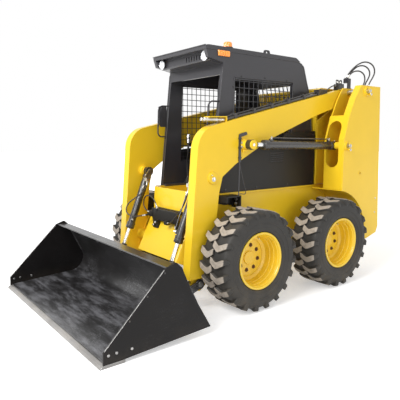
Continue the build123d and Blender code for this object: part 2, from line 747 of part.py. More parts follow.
with BuildPart() as engine_block:
    with Locations((0, 960, 300)):
        Box(520, 640, 560, align=(Align.CENTER, Align.CENTER, Align.MIN))
save(engine_block, "engine_block")

with BuildPart() as side_panels:
    for side, hand in sides:
        slab(
            ((-215, tub_top + seat_gap, 0), (985, tub_top + seat_gap, 0), (985, 1420, 0), (560, 1400, 0), (480, 1290, 0),
             (-185, 1220, 0)),
            side * (tub_half - 14),
            side * (tub_half - 2),
        )
        for i in range(5):
            with Locations((side * (tub_half - 8), 452, 1144 + i * 18)):
                Box(20, 170, 8, mode=Mode.SUBTRACT)
save(side_panels, "side_panels")

# rear bay: fixed front wall, lid on a hinge at its front edge, door on a hinge at the machine's left
lid_z = 1780.0  # foot of the lid's front edge
with BuildPart() as engine_cover:
    slab(
        ((1010, tub_top + seat_gap, 0), (1010, 1560, 0), (1038, lid_z - seat_gap, 0), (1050, lid_z - seat_gap, 0),
         (1022, 1558, 0), (1022, tub_top + seat_gap, 0)),
        -bay_half,
        bay_half,
    )
    for x in (-300, -242, 200, 258):
        slab(
            ((hood_hinge_y - 4, lid_z - 60, 0), (hood_hinge_y - 4, hood_hinge_z, 0), (hood_hinge_y + 4, hood_hinge_z, 0),
             (hood_hinge_y + 8, lid_z - seat_gap, 0), (hood_hinge_y + 8, lid_z - 60, 0)),
            x,
            x + 20,
        )
        bar(hood_hinge_y, hood_hinge_z, knuckle, x, x + 20)
save(engine_cover, "engine_cover")

with BuildPart() as hood:
    slab(
        (
            (1040, lid_z, 0), (1040, 1834, 30), (1472, 1834, 40), (1500, 1420, 0), (1488, 1420, 0), (1462, 1822, 28),
            (1052, 1822, 18), (1052, lid_z, 0),
        ),
        -bay_half,
        bay_half,
    )
    for x in (-279.7, 220.3):
        bar(hood_hinge_y, hood_hinge_z, knuckle, x, x + 37.4)
        slab(((hood_hinge_y, hood_hinge_z - 8, 0), (hood_hinge_y, hood_hinge_z + 8, 0),
              (hood_hinge_y + 14, hood_hinge_z + 8, 0), (hood_hinge_y + 14, hood_hinge_z - 8, 0)), x, x + 37.4)
    for side in (1, -1):
        for i in range(6):
            with Locations((side * 210, 1130 + i * 34, 1828)):
                Box(190, 12, 40, mode=Mode.SUBTRACT)
save(hood, "hood")

with BuildPart() as rear_door:
    slab(
        ((door_y, 360, 0), (door_y, 1408, 0), (door_y + door_thick, 1408, 12), (door_y + door_thick, 360, 12)),
        -bay_half,
        bay_half,
    )
    for i in range(9):
        with Locations((0, door_y + door_thick / 2, 900 + i * 40)):
            Box(2 * bay_half - 300, 2 * door_thick, 14, mode=Mode.SUBTRACT)
    for z in (440, 800):
        with Locations((door_hinge_x, door_hinge_y, z + 60 + seat_gap)):
            Cylinder(knuckle - 2, 44, align=(Align.CENTER, Align.CENTER, Align.MIN))
        with Locations((door_hinge_x - 13, door_hinge_y - 8, z + 60 + seat_gap)):
            Box(22, 13, 44, align=(Align.CENTER, Align.CENTER, Align.MIN))
save(rear_door, "rear_door")

# ---------------------------------------------------------------- cab
roof_under = roof_z - roof_thick
window = ((-50, 1130, 0), (-30, 1855, 0), (700, 1862, 0), (690, 1130, 0))
with BuildPart() as cab_frame:
    slab(
        (
            (-262, cab_foot_z, 0), (-150, roof_under - 124, 0), (-146, roof_under - 92, 0), (-305, roof_under - 62, 0),
            (-326, roof_under - seat_gap, 0), (770, roof_under - seat_gap, 0), (850, roof_under - 32, 40),
            (933, roof_under - 260, 0), (990, 1400, 0), (990, cab_foot_z, 0),
        ),
        -cab_half,
        cab_half,
    )
    # inside
    slab(
        (
            (-400, cab_foot_z + 20, 0), (-400, roof_under - 14, 0), (760, roof_under - 14, 0), (824, roof_under - 44, 0),
            (899, roof_under - 264, 0), (956, 1400, 0), (956, cab_foot_z + 20, 0),
        ),
        -cab_half + cab_wall,
        cab_half - cab_wall,
        mode=Mode.SUBTRACT,
    )
    slab(((-400, roof_under - 20, 0), (-400, roof_under, 0), (header_y + 1, roof_under, 0), (header_y + 1, roof_under - 20, 0)),
         -cab_half + cab_wall, cab_half - cab_wall, mode=Mode.SUBTRACT)
    slab(window, -cab_half - 1, cab_half + 1, mode=Mode.SUBTRACT)
    with BuildSketch(Plane(origin=(0, 760, 1640), x_dir=(1, 0, 0), z_dir=(0, 1, 0))):
        Rectangle(560, 440)
    extrude(amount=400, mode=Mode.SUBTRACT)
    # header over the doorway
    slab(
        (
            (-157, roof_under - 184, 0), (-150, roof_under - 124, 0), (-146, roof_under - 92, 0),
            (header_y, roof_under - 82, 16), (header_y, roof_under - seat_gap, 0), (header_y + 14, roof_under - seat_gap, 0),
            (header_y + 14, roof_under - 70, 10), (-132, roof_under - 80, 0), (-130, roof_under - 184, 0),
        ),
        -cab_half + cab_wall,
        cab_half - cab_wall,
    )
    # louvres in the header
    for i in range(1, 8):
        with Locations((i * louvre_pitch, header_y + 7, roof_under - 40)):
            Box(12, 40, 40, mode=Mode.SUBTRACT)
    # openings in the floor over the foot well and the engine bay
    with BuildSketch(Plane.XY.offset(cab_foot_z - 5)):
        with Locations((0, -150)):
            Rectangle(2 * nose_half - 60, 420)
        with Locations((0, 860)):
            Rectangle(2 * (cab_half - cab_wall) - 20, 320)
    extrude(amount=60, mode=Mode.SUBTRACT)
save(cab_frame, "cab_frame")

with BuildPart() as cab_roof:
    slab(
        (
            (-326, roof_under, 0), (-332, roof_z - 6, 8), (-300, roof_z, 0), (740, roof_z, 60), (800, roof_under, 0),
        ),
        -cab_half,
        cab_half,
    )
save(cab_roof, "cab_roof")

# eyes for lifting the cab, on the roof's sides
with BuildPart() as lifting_eyes:
    for side, hand in sides:
        slab(((420, roof_z, 0), (440, roof_z + 56, 16), (500, roof_z + 56, 16), (520, roof_z, 0)),
             side * (eye_plate_x - 6), side * (eye_plate_x + 6))
        bar(470, roof_z + 30, lift_hole, side * (eye_plate_x - 6), side * (eye_plate_x + 6), mode=Mode.SUBTRACT)
save(lifting_eyes, "lifting_eyes")

with BuildPart() as headlamps:
    for side, hand in sides:
        with BuildSketch(Plane(origin=(side * lamp_x, header_y - seat_gap, roof_under - 41), x_dir=(1, 0, 0),
                               z_dir=(0, -1, 0))) as lamp_face:
            Circle(lamp_radius)
        extrude(lamp_face.sketch, amount=16)
        extrude(offset(lamp_face.sketch, -5, mode=Mode.PRIVATE), amount=26, taper=20)
save(headlamps, "headlamps")

# orange markers on the cab's sides, and a beacon on the roof
with BuildPart() as orange_lamps:
    for side, hand in sides:
        slab(((-211, roof_under - 44, 8), (-84, roof_under - 44, 8), (-84, roof_under + 2, 8), (-211, roof_under + 2, 8)),
             side * (cab_half + seat_gap), side * (cab_half + 16))
    with BuildSketch(Plane.XY.offset(roof_z)) as beacon_foot:
        with Locations((beacon_x, beacon_y)):
            Circle(44)
    extrude(beacon_foot.sketch, amount=12)
    extrude(offset(beacon_foot.sketch, -8, mode=Mode.PRIVATE), amount=54, taper=8)
save(orange_lamps, "orange_lamps")



def rear_plate_y(z):
    """Outer face of the towers' rear plates."""
    return rear_top_y + (rear_foot_y - rear_top_y) * (tower_top_z - 40 - z) / (tower_top_z - 40 - 471)


# tail lamps on the rear plates
with BuildPart() as tail_lamps:
    for side, hand in sides:
        slab(
            [(rear_plate_y(z) + out, z, 6 if out > 1 else 0)
             for z, out in ((1180, seat_gap), (1180, 34), (1340, 34), (1340, seat_gap))],
            side * 610,
            side * 700,
        )
save(tail_lamps, "tail_lamps")


def pillar_y(z):
    """Front edge of the cab's side walls."""
    rise = (z - cab_foot_z) / (roof_under - 124 - cab_foot_z)
    return -262 + 112 * rise


# grab rails on the front pillars, with a mirror in the right one
with BuildPart() as grab_handles:
    for side, hand in sides:
        x = side * (cab_half - cab_wall / 2)
        tube(((x, pillar_y(1652) - 1, 1652), (x, -290, 1650), (x, -302, 1366), (x, pillar_y(1364) - 1, 1364)), rail_size)
    slab(((-216, 1646, 12), (-290, 1646, 12), (-293, 1536, 20), (-224, 1540, 20)),
         -cab_half + cab_wall / 2 - 5, -cab_half + cab_wall / 2 + 5)
save(grab_handles, "grab_handles")

# steering levers with their grips, on the floor's side strips
with BuildPart() as controls:
    for side, hand in sides:
        x = side * (nose_half - 2)
        with Locations((x, 10, cab_foot_z + 20 + seat_gap)):
            Cylinder(24, 34, align=(Align.CENTER, Align.CENTER, Align.MIN))
        tube(((x, 10, cab_foot_z + 40), (x, 0, 1120), (side * 238, -44, 1240), (side * 226, -52, 1310)), 16)
        with BuildSketch(Plane(origin=(side * 226, -52, 1300), z_dir=(-side * 12, -8, 70))) as grip_foot:
            Circle(17)
        extrude(grip_foot.sketch, amount=84)
save(controls, "controls")

# wire screen in the rear window
with BuildPart() as rear_screen:
    for i in range(10):
        x = -250.5 + i * wire_pitch
        slab([(y + out, z, 0) for y, z, out in ((970, 1420.3, 0), (918, 1790, 0), (892, 1859.7, 0), (892, 1859.7, 4),
                                                (918, 1790, 4), (970, 1420.3, 4))], x, x + wire)
    for i in range(7):
        z = 1450 + i * wire_pitch
        with Locations((0, 970 - 52 * (z - 1420) / 370 + 5, z)):
            Box(560 - 2 * seat_gap, 4, wire)
save(rear_screen, "rear_screen")

# wire screens in the side windows: a frame, uprights in one layer and crosswires in the next
with BuildPart() as side_screens:
    for side, hand in sides:
        x0 = side * (cab_half - cab_wall / 2)
        x1 = x0 + side * 10
        slab([(y + (1 if y < 300 else -1), z + (1 if z < 1500 else -1), 0) for y, z, r in window], x0, x1)
        slab([(y + (16 if y < 300 else -16), z + (16 if z < 1500 else -16), 0) for y, z, r in window], x0, x1,
             mode=Mode.SUBTRACT)
        for i in range(13):
            with Locations((x0 + side * 2, -10 + i * wire_pitch, 1495)):
                Box(3, wire, 712)
        for i in range(13):
            z = 1170 + i * wire_pitch
            front = -50 + 20 * (z - 1130) / 725 + 4
            with Locations((x0 + side * 7, (front + 684) / 2, z)):
                Box(3, 684 - front, wire)
save(side_screens, "side_screens")

with BuildPart() as seat:
    slab(
        (
            (80, 1010, 20), (80, 1110, 40), (200, 1130, 0), (540, 1110, 60), (620, 1640, 40), (700, 1640, 40),
            (660, 1010, 20),
        ),
        -240,
        240,
    )
    with Locations((0, 370, cab_foot_z + 20)):
        Box(420, 480, 1010 - cab_foot_z - 20, align=(Align.CENTER, Align.CENTER, Align.MIN))
save(seat, "seat")

# ---------------------------------------------------------------- bucket
back_run = Vector(0, lip_y - heel_y, lip_z - heel_z).normalized()
back_out = Vector(0, back_run.Z, -back_run.Y)


def behind(up, out):
    """Point (y, z) on the bucket's back: up along it from the heel, and out behind it."""
    point = Vector(0, heel_y, heel_z) + back_run * up + back_out * out
    return (point.Y, point.Z)


with BuildPart() as bucket_shell:
    with BuildSketch(across(-bucket_half + side_plate + seat_gap)):
        with BuildLine():
            FilletPolyline((edge_y + 36, edge_thick), (heel_y, heel_z), (lip_y, lip_z), (lip_y - 106, lip_z + 6),
                           radius=(150, 24))
            offset(amount=shell_plate, side=Side.LEFT)
        make_face()
    extrude(amount=2 * (bucket_half - side_plate - seat_gap))
save(bucket_shell, "bucket_shell")

with BuildPart() as bucket_sides:
    for side, hand in sides:
        slab(
            (
                (edge_y + 135, edge_thick + seat_gap, 0), (edge_y + 23, edge_thick + seat_gap, 0), (edge_y + 25, 96, 12),
                (-1097, 535, 12), (-1018, 562, 16), (-972, 520, 0), (-886, 322, 0), (heel_y + 8, heel_z - 2, 0),
            ),
            side * (bucket_half - side_plate),
            side * bucket_half,
        )
        for y, z in side_holes:
            bar(y, z, side_hole, side * (bucket_half - side_plate), side * bucket_half, mode=Mode.SUBTRACT)
save(bucket_sides, "bucket_sides")

with BuildPart() as cutting_edge:
    slab(
        (
            (edge_y, 0, 0), (edge_y + 12, 14, 0), (edge_y + 30, edge_thick, 0), (edge_y + edge_length, edge_thick, 0),
            (edge_y + edge_length, 0, 0),
        ),
        -bucket_half,
        bucket_half,
    )
save(cutting_edge, "cutting_edge")

# quick attach on the bucket's back: plate, hinge cheeks beside the arms' lugs, cheeks for the tilt rods
with BuildPart() as quick_attach:
    slab(
        [(*behind(up, out), 0) for up, out in ((60, seat_gap), (450, seat_gap), (450, attach_plate), (60, attach_plate))],
        -arm_outer_x,
        arm_outer_x,
    )
    for side in (1, -1):
        for x in (arm_inner_x, arm_outer_x - cheek):
            slab(
                (
                    (*behind(62, attach_plate - 1), 0), (*behind(290, attach_plate - 1), 0),
                    (hinge_y - 156, hinge_z + 25, 0), (hinge_y - 120, hinge_z - 15, 0), (hinge_y - 70, hinge_z + 8, 0),
                    (hinge_y - 30, hinge_z + 24, 0), (hinge_y, hinge_z, 0), (hinge_y - 10, hinge_z - 40, 0),
                    (hinge_y - 80, hinge_z - 66, 30),
                ),
                side * x,
                side * (x + cheek),
            )
            bar(hinge_y, hinge_z, 42, side * x, side * (x + cheek))
            bar(hinge_y, hinge_z, pin_radius + pin_gap, side * x, side * (x + cheek), mode=Mode.SUBTRACT)
        for x in (tilt_x - eye_half - side_gap - cheek, tilt_x + eye_half + side_gap):
            slab(
                (
                    (*behind(200, attach_plate - 1), 0), (*behind(430, attach_plate - 1), 0),
                    (tilt_eye_y - 16, tilt_eye_z + 36, 0), (tilt_eye_y + 16, tilt_eye_z - 36, 0),
                ),
                side * x,
                side * (x + cheek),
            )
            bar(tilt_eye_y, tilt_eye_z, 39, side * x, side * (x + cheek))
save(quick_attach, "quick_attach")
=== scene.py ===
import json
import math
import random
import bmesh
import bpy
from mathutils import Euler, Matrix, Vector


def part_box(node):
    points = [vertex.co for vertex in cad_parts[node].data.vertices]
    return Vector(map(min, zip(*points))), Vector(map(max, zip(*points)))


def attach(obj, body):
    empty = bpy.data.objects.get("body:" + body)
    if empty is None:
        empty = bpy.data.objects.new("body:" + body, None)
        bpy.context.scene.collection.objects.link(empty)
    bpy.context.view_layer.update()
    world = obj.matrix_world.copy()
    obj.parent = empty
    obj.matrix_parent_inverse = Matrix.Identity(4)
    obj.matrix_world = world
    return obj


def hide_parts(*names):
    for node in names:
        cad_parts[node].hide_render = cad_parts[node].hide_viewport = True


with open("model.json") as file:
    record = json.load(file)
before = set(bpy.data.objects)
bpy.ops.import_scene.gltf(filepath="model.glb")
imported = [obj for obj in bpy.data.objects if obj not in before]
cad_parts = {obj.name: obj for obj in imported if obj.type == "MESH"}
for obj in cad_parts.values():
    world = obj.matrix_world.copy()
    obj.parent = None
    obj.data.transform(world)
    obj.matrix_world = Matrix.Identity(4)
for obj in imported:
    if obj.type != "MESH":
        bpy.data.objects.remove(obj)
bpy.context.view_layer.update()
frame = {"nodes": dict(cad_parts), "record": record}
nodes = frame["nodes"]
random.seed(7)
sides = ((1, "left"), (-1, "right"))


# camera

cameraSettings = {
    "place": (3.322, -2.651, 1.356),
    "turn": 52.352,  # degrees to the left of straight ahead
    "dip": 7.728,
    "lens": 41.34,
}
camera = bpy.data.objects.new("camera", bpy.data.cameras.new("camera"))
camera.location = cameraSettings["place"]
camera.rotation_euler = Euler((math.radians(90 - cameraSettings["dip"]), 0, math.radians(cameraSettings["turn"])))
camera.data.lens = cameraSettings["lens"]
camera.data.sensor_width = 36
camera.data.clip_end = 200
bpy.context.collection.objects.link(camera)
bpy.context.scene.camera = camera
bpy.context.scene.view_settings.view_transform = "Standard"


class NodeBoard:
    # adds the nodes of one tree, whose inputs take sockets or plain values

    def __init__(self, tree):
        self.tree = tree

    def add(self, kind, **settings):
        node = self.tree.nodes.new(kind)
        for name, value in settings.items():
            setattr(node, name, value)
        return node

    def join(self, out, into):
        self.tree.links.new(out, into)

    def fill(self, node, values):
        for key, value in values.items():
            if hasattr(value, "is_output"):
                self.join(value, node.inputs[key])
            else:
                node.inputs[key].default_value = value

    def use(self, kind, values, out=0, **settings):
        node = self.add(kind, **settings)
        self.fill(node, values)
        return node.outputs[out]

    def math(self, operation, a, b=0.5, clamp=False):
        return self.use("ShaderNodeMath", {0: a, 1: b}, operation=operation, use_clamp=clamp)

    def ramp(self, value, low, high):
        return self.use("ShaderNodeMapRange", {"Value": value, "From Min": low, "From Max": high}, "Result",
                        clamp=True, interpolation_type="SMOOTHSTEP")

    def mix(self, amount, a, b):
        return self.use("ShaderNodeMix", {0: amount, 6: a, 7: b}, 2, data_type="RGBA")

    def noise(self, place, scale, detail=4.0, rough=0.5):
        return self.use("ShaderNodeTexNoise", {"Vector": place, "Scale": scale, "Detail": detail, "Roughness": rough},
                        "Fac")

    def spot(self):
        return self.use("ShaderNodeTexCoord", {}, "Object")

    def stretched(self, spot, scale, turn=(0, 0, 0)):
        return self.use("ShaderNodeMapping", {"Vector": spot, "Scale": scale, "Rotation": turn})

    def upPart(self, vector):
        return self.use("ShaderNodeSeparateXYZ", {0: vector}, "Z")

    def effect(self, group, **values):
        node = self.add("ShaderNodeGroup", node_tree=group)
        self.fill(node, values)
        return node.outputs

    def bump(self, shader, strength, distance, height, normal=None):
        values = {"Strength": strength, "Distance": distance, "Height": height}
        if normal:
            values["Normal"] = normal
        self.join(self.use("ShaderNodeBump", values), shader.inputs["Normal"])

    def seenRays(self):
        # rays of the camera, of reflections and through glass
        rays = self.add("ShaderNodeLightPath").outputs
        seen = self.math("MAXIMUM", rays["Is Camera Ray"], rays["Is Glossy Ray"])
        return self.math("MAXIMUM", seen, rays["Is Transmission Ray"])


def linear(red, green, blue):
    def one(v):
        v /= 255
        return v / 12.92 if v <= 0.04045 else ((v + 0.055) / 1.055) ** 2.4
    return (one(red), one(green), one(blue), 1.0)


def tinted(colour, grow, lift=0.0):
    return tuple(min(1, v * grow + lift) for v in colour[:3]) + (1,)


# shared effects, as node groups

def newGroup(name, inputs, results):
    group = bpy.data.node_groups.new(name, "ShaderNodeTree")
    for label, value in inputs.items():
        group.interface.new_socket(label, in_out="INPUT", socket_type="NodeSocketFloat").default_value = value
    for label in results:
        kind = "NodeSocketVector" if label == "Normal" else "NodeSocketFloat"
        group.interface.new_socket(label, in_out="OUTPUT", socket_type=kind)
    board = NodeBoard(group)
    return group, board, board.add("NodeGroupInput").outputs, board.add("NodeGroupOutput").inputs


def makeEdgeGroup():
    # rounded normal and a broken mask along outer edges
    group, b, given, out = newGroup("roundedEdges", {"Radius": 0.003, "Wear": 0.5, "Scale": 40.0}, ("Mask", "Normal"))
    rounded = b.use("ShaderNodeBevel", {"Radius": given["Radius"]}, samples=4)
    flat = b.use("ShaderNodeNewGeometry", {}, "Normal")
    dot = b.use("ShaderNodeVectorMath", {0: rounded, 1: flat}, "Value", operation="DOT_PRODUCT")
    turn = b.math("SUBTRACT", 1.0, dot, clamp=True)
    grain = b.noise(b.spot(), given["Scale"], 6.0, 0.7)
    limit = b.math("SUBTRACT", 1.05, given["Wear"])
    broken = b.ramp(grain, b.math("MULTIPLY", limit, 0.85), limit)
    b.join(b.math("MULTIPLY", b.ramp(turn, 0.02, 0.12), broken), out["Mask"])
    b.join(rounded, out["Normal"])
    return group


def makeDustGroup():
    # dust that settles on upward faces and splashes low down
    group, b, given, out = newGroup("dust", {"Top": 0.3, "Low": 0.3, "Height": 0.6}, ("Mask",))
    spot = b.spot()
    facingUp = b.upPart(b.use("ShaderNodeNewGeometry", {}, "Normal"))
    up = b.math("MULTIPLY", b.ramp(facingUp, 0.3, 0.95), given["Top"])
    low = b.math("MULTIPLY", b.ramp(b.upPart(spot), given["Height"], 0.0), given["Low"])
    cloud = b.ramp(b.noise(spot, 7.0, 8.0, 0.65), 0.3, 0.75)
    b.join(b.math("MULTIPLY", b.math("ADD", up, low), cloud, clamp=True), out["Mask"])
    return group


def makeBlotchGroup():
    # two sizes of soft variation, about 0.5 on average
    group, b, given, out = newGroup("blotches", {"Scale": 3.0, "Fine": 60.0}, ("Value", "Grain"))
    spot = b.spot()
    b.join(b.noise(spot, given["Scale"], 5.0, 0.6), out["Value"])
    b.join(b.noise(spot, given["Fine"], 3.0, 0.6), out["Grain"])
    return group


def makeScratchGroup():
    # long thin scratches, mostly along one way
    group, b, given, out = newGroup("scratches", {"Amount": 0.4, "Scale": 9.0}, ("Mask",))
    spot = b.spot()
    total = None
    for turn, stretch in ((0.35, (1.2, 14.0, 14.0)), (-0.8, (10.0, 1.0, 12.0)), (1.3, (2.0, 11.0, 9.0))):
        wave = b.noise(b.stretched(spot, stretch, (turn * 0.4, 0.0, turn)), given["Scale"], 2.0, 0.5)
        line = b.math("SUBTRACT", 1.0, b.ramp(b.math("ABSOLUTE", b.math("SUBTRACT", wave, 0.5)), 0.0, 0.012))
        line = b.math("MULTIPLY", line, b.ramp(b.noise(spot, 3.0 + turn, 3.0, 0.6), 0.5, 0.62))
        total = b.math("MAXIMUM", total, line) if total else line
    b.join(b.math("MULTIPLY", total, given["Amount"]), out["Mask"])
    return group


edgeGroup = makeEdgeGroup()
dustGroup = makeDustGroup()
blotchGroup = makeBlotchGroup()
scratchGroup = makeScratchGroup()
dustTone = linear(176, 158, 130)
steelTone = linear(150, 148, 145)
rubbedTone = linear(122, 122, 126)
chipTone = linear(112, 110, 110)


def startMaterial(name):
    material = bpy.data.materials.new(name)
    material.use_nodes = True
    shader = next(n for n in material.node_tree.nodes if n.type == "BSDF_PRINCIPLED")
    return material, NodeBoard(material.node_tree), shader


def paint(name, colour, rough=0.35, shade=0.8, wear=0.3, under=steelTone, top=0.15, low=0.3, height=0.7, scratch=0.0,
          coat=0.3, radius=0.003, scuff=0.0, shine=0.5):
    # enamel over primer, with chipped edges, dust and faint blotches
    material, b, shader = startMaterial(name)
    blotch = b.effect(blotchGroup)
    edge = b.effect(edgeGroup, Radius=radius, Wear=wear)
    dust = b.effect(dustGroup, Top=top, Low=low, Height=height)["Mask"]
    tone = b.mix(b.ramp(blotch["Value"], 0.3, 0.7), tinted(colour, shade), colour)
    tone = b.mix(dust, tone, dustTone)
    if scuff:
        # rubbed patches low on the floor of the bucket, drawn out along its length
        spot = b.spot()
        patch = b.ramp(b.noise(b.stretched(spot, (0.7, 3.2, 1.0)), 4.4, 10.0, 0.74), 0.42, 0.68)
        rubbed = b.math("MULTIPLY", patch, b.ramp(b.upPart(spot), 0.16, 0.02))
        tone = b.mix(b.math("MULTIPLY", rubbed, scuff), tone, rubbedTone)
    bare = edge["Mask"]
    if scratch:
        bare = b.math("MAXIMUM", bare, b.effect(scratchGroup, Amount=scratch)["Mask"])
    roughness = b.math("ADD", rough - 0.06, b.math("MULTIPLY", blotch["Grain"], 0.12))
    b.fill(shader, {
        "Base Color": b.mix(bare, tone, under),
        "Roughness": b.math("ADD", roughness, b.math("MULTIPLY", dust, 0.4), clamp=True),
        "Metallic": b.math("MULTIPLY", bare, 0.7),
        "Specular IOR Level": shine, "Coat Weight": coat, "Coat Roughness": 0.15,
    })
    b.bump(shader, 0.12, 0.0006, blotch["Grain"], edge["Normal"])
    return material


def metal(name, colour, rough, grain=0.06, lay=(1.0, 1.0, 1.0), relief=0.1, shade=0.72):
    # bare or plated metal with fine lines along one way
    material, b, shader = startMaterial(name)
    lines = b.noise(b.stretched(b.spot(), lay), 120.0, 4.0, 0.6)
    blotch = b.effect(blotchGroup, Scale=14.0)
    b.fill(shader, {
        "Base Color": b.mix(b.ramp(blotch["Value"], 0.3, 0.7), tinted(colour, shade), colour),
        "Roughness": b.math("ADD", rough - grain / 2, b.math("MULTIPLY", lines, grain)),
        "Metallic": 1.0,
    })
    if relief:
        b.bump(shader, relief, 0.0003, lines, b.effect(edgeGroup, Radius=0.0015, Wear=0.2)["Normal"])
    return material


def moulded(name, colour, rough=0.55, grain=90.0, bumpHeight=0.0008, dust=0.2):
    # rubber, plastic and vinyl: fine grain, faint blotches and dust
    material, b, shader = startMaterial(name)
    blotch = b.effect(blotchGroup, Scale=5.0, Fine=grain)
    dust = b.effect(dustGroup, Top=dust, Low=dust, Height=0.8)["Mask"]
    edge = b.effect(edgeGroup, Radius=0.003, Wear=0.55, Scale=25.0)
    pale = tinted(colour, 1.5, 0.004)
    tone = b.mix(dust, b.mix(b.ramp(blotch["Value"], 0.35, 0.7), colour, pale), dustTone)
    b.fill(shader, {
        "Base Color": b.mix(b.math("MULTIPLY", edge["Mask"], 0.6), tone, pale),
        "Roughness": b.math("ADD", rough - 0.1, b.math("MULTIPLY", blotch["Grain"], 0.2), clamp=True),
    })
    b.bump(shader, 0.35, bumpHeight, blotch["Grain"], edge["Normal"])
    return material


def lens(name, colour, rough=0.12, glow=0.0):
    # ribbed lamp lens
    material, b, shader = startMaterial(name)
    ribs = b.use("ShaderNodeTexWave", {"Vector": b.spot(), "Scale": 60.0}, "Fac", wave_type="BANDS",
                 bands_direction="X")
    blotch = b.effect(blotchGroup, Scale=30.0)
    b.fill(shader, {
        "Base Color": b.mix(blotch["Value"], colour, tinted(colour, 1.25, 0.03)),
        "Roughness": rough, "Coat Weight": 0.6,
    })
    if glow:
        b.fill(shader, {"Emission Color": colour, "Emission Strength": glow})
    b.bump(shader, 0.4, 0.0012, ribs)
    return material


def treadRubber(name, colour, worn):
    # dark rubber whose bars are scuffed pale on top
    material, b, shader = startMaterial(name)
    blotch = b.effect(blotchGroup, Scale=6.0, Fine=150.0)
    dust = b.effect(dustGroup, Top=0.10, Low=0.10, Height=0.5)["Mask"]
    mark = b.use("ShaderNodeAttribute", {}, "Fac", attribute_name="worn")
    streak = b.ramp(b.noise(b.spot(), 22.0, 6.0, 0.7), 0.22, 0.60)
    amount = b.math("MULTIPLY", b.ramp(mark, 0.35, 0.95), b.math("ADD", 0.55, b.math("MULTIPLY", streak, 0.45)))
    tone = b.mix(b.ramp(blotch["Value"], 0.35, 0.7), colour, tinted(colour, 1.35))
    b.fill(shader, {
        "Base Color": b.mix(amount, b.mix(dust, tone, dustTone), worn),
        "Roughness": b.math("ADD", 0.52, b.math("MULTIPLY", blotch["Grain"], 0.25), clamp=True),
    })
    b.bump(shader, 0.4, 0.0012, blotch["Grain"])
    return material


finishes = {
    "yellow_paint": paint("yellowPaint", linear(248, 206, 42), rough=0.30, shade=0.95, wear=0.22,
                          under=linear(176, 126, 44), top=0.05, low=0.06, coat=0.12, shine=0.35),
    "rim_paint": paint("rimPaint", linear(246, 206, 48), rough=0.30, shade=0.93, wear=0.2,
                       under=linear(150, 110, 50), top=0.05, low=0.10, height=0.6),
    "black_paint": paint("blackPaint", linear(52, 51, 55), rough=0.36, shade=0.9, under=chipTone, top=0.06, low=0.08,
                         coat=0.25),
    "bucket_paint": paint("bucketPaint", linear(36, 35, 35), rough=0.30, shade=0.85, wear=0.55,
                          under=linear(150, 150, 152), top=0.0, low=0.0, height=0.15, scratch=0.75, scuff=0.9),
    "cylinder_paint": paint("cylinderPaint", linear(50, 47, 45), rough=0.28, shade=0.88, wear=0.22, coat=0.5, top=0.04),
    "rod_chrome": metal("chromeRod", linear(238, 240, 243), 0.24, grain=0.02, relief=0.0, shade=0.9),
    "zinc_steel": metal("zincSteel", linear(214, 212, 206), 0.30),
    "engine_iron": paint("engineIron", linear(74, 74, 72), rough=0.6, coat=0.0),
    "tyre_rubber": treadRubber("tyreRubber", linear(40, 38, 35), linear(170, 159, 146)),
    "seat_vinyl": moulded("seatVinyl", linear(40, 39, 38), 0.5, 220.0),
    "black_plastic": moulded("blackPlastic", linear(38, 38, 38), 0.45, 260.0, 0.0003, 0.05),
    "hose_rubber": moulded("hoseRubber", linear(38, 35, 33), 0.36, 300.0, 0.0003, 0.05),
    "lamp_glass": lens("lampGlass", linear(240, 242, 245), 0.08, glow=0.12),
    "orange_lens": lens("orangeLens", linear(240, 140, 44), glow=0.25),
    "red_lens": lens("redLens", linear(170, 20, 14)),
    "panelBlack": paint("panelBlack", linear(38, 36, 33), rough=0.42, shade=0.9, under=chipTone, top=0.05, low=0.05,
                        coat=0.0, shine=0.3),
    "bucketSide": paint("bucketSide", linear(22, 20, 20), rough=0.38, shade=0.9, wear=0.35,
                        under=linear(120, 120, 122), top=0.02, low=0.05, height=0.15, scratch=0.12, coat=0.0,
                        shine=0.2),
    "nutIron": paint("nutIron", linear(96, 58, 26), rough=0.5, coat=0.0, radius=0.001),
    "darkBolt": paint("darkBolt", linear(46, 45, 46), rough=0.34, wear=0.35, under=linear(120, 118, 116), coat=0.2,
                      radius=0.001),
    "wornSteel": metal("wornSteel", linear(168, 166, 164), 0.34, grain=0.2, lay=(0.4, 6.0, 6.0)),
    "edgeSteel": paint("edgeSteel", linear(158, 156, 154), rough=0.40, shade=0.60, wear=0.9,
                       under=linear(196, 195, 193), top=0.1, low=0.1, height=0.1, scratch=0.8, coat=0.05, radius=0.006),
    "chromeTrim": metal("chromeTrim", linear(232, 233, 236), 0.18, grain=0.02, relief=0.0, shade=0.9),
}
for part in frame["record"]["subparts"]:
    for slot in nodes[part["node"]].material_slots:
        slot.material = finishes[part["material_slot"]]
for node, finish in (("cutting_edge", "edgeSteel"), ("bucket_sides", "bucketSide"), ("side_panels", "panelBlack"),
                     ("prop_bracket", "panelBlack"), ("front_step", "panelBlack")):
    nodes[node].material_slots[0].material = finishes[finish]
print("finishes:", len(finishes))


def ring(count, radius=1.0):
    turns = (2 * math.pi * i / count for i in range(count))
    return [(radius * math.cos(a), radius * math.sin(a)) for a in turns]


def facing(point, way):
    return Matrix.Translation(Vector(point)) @ Vector(way).to_track_quat("Z", "Y").to_matrix().to_4x4()


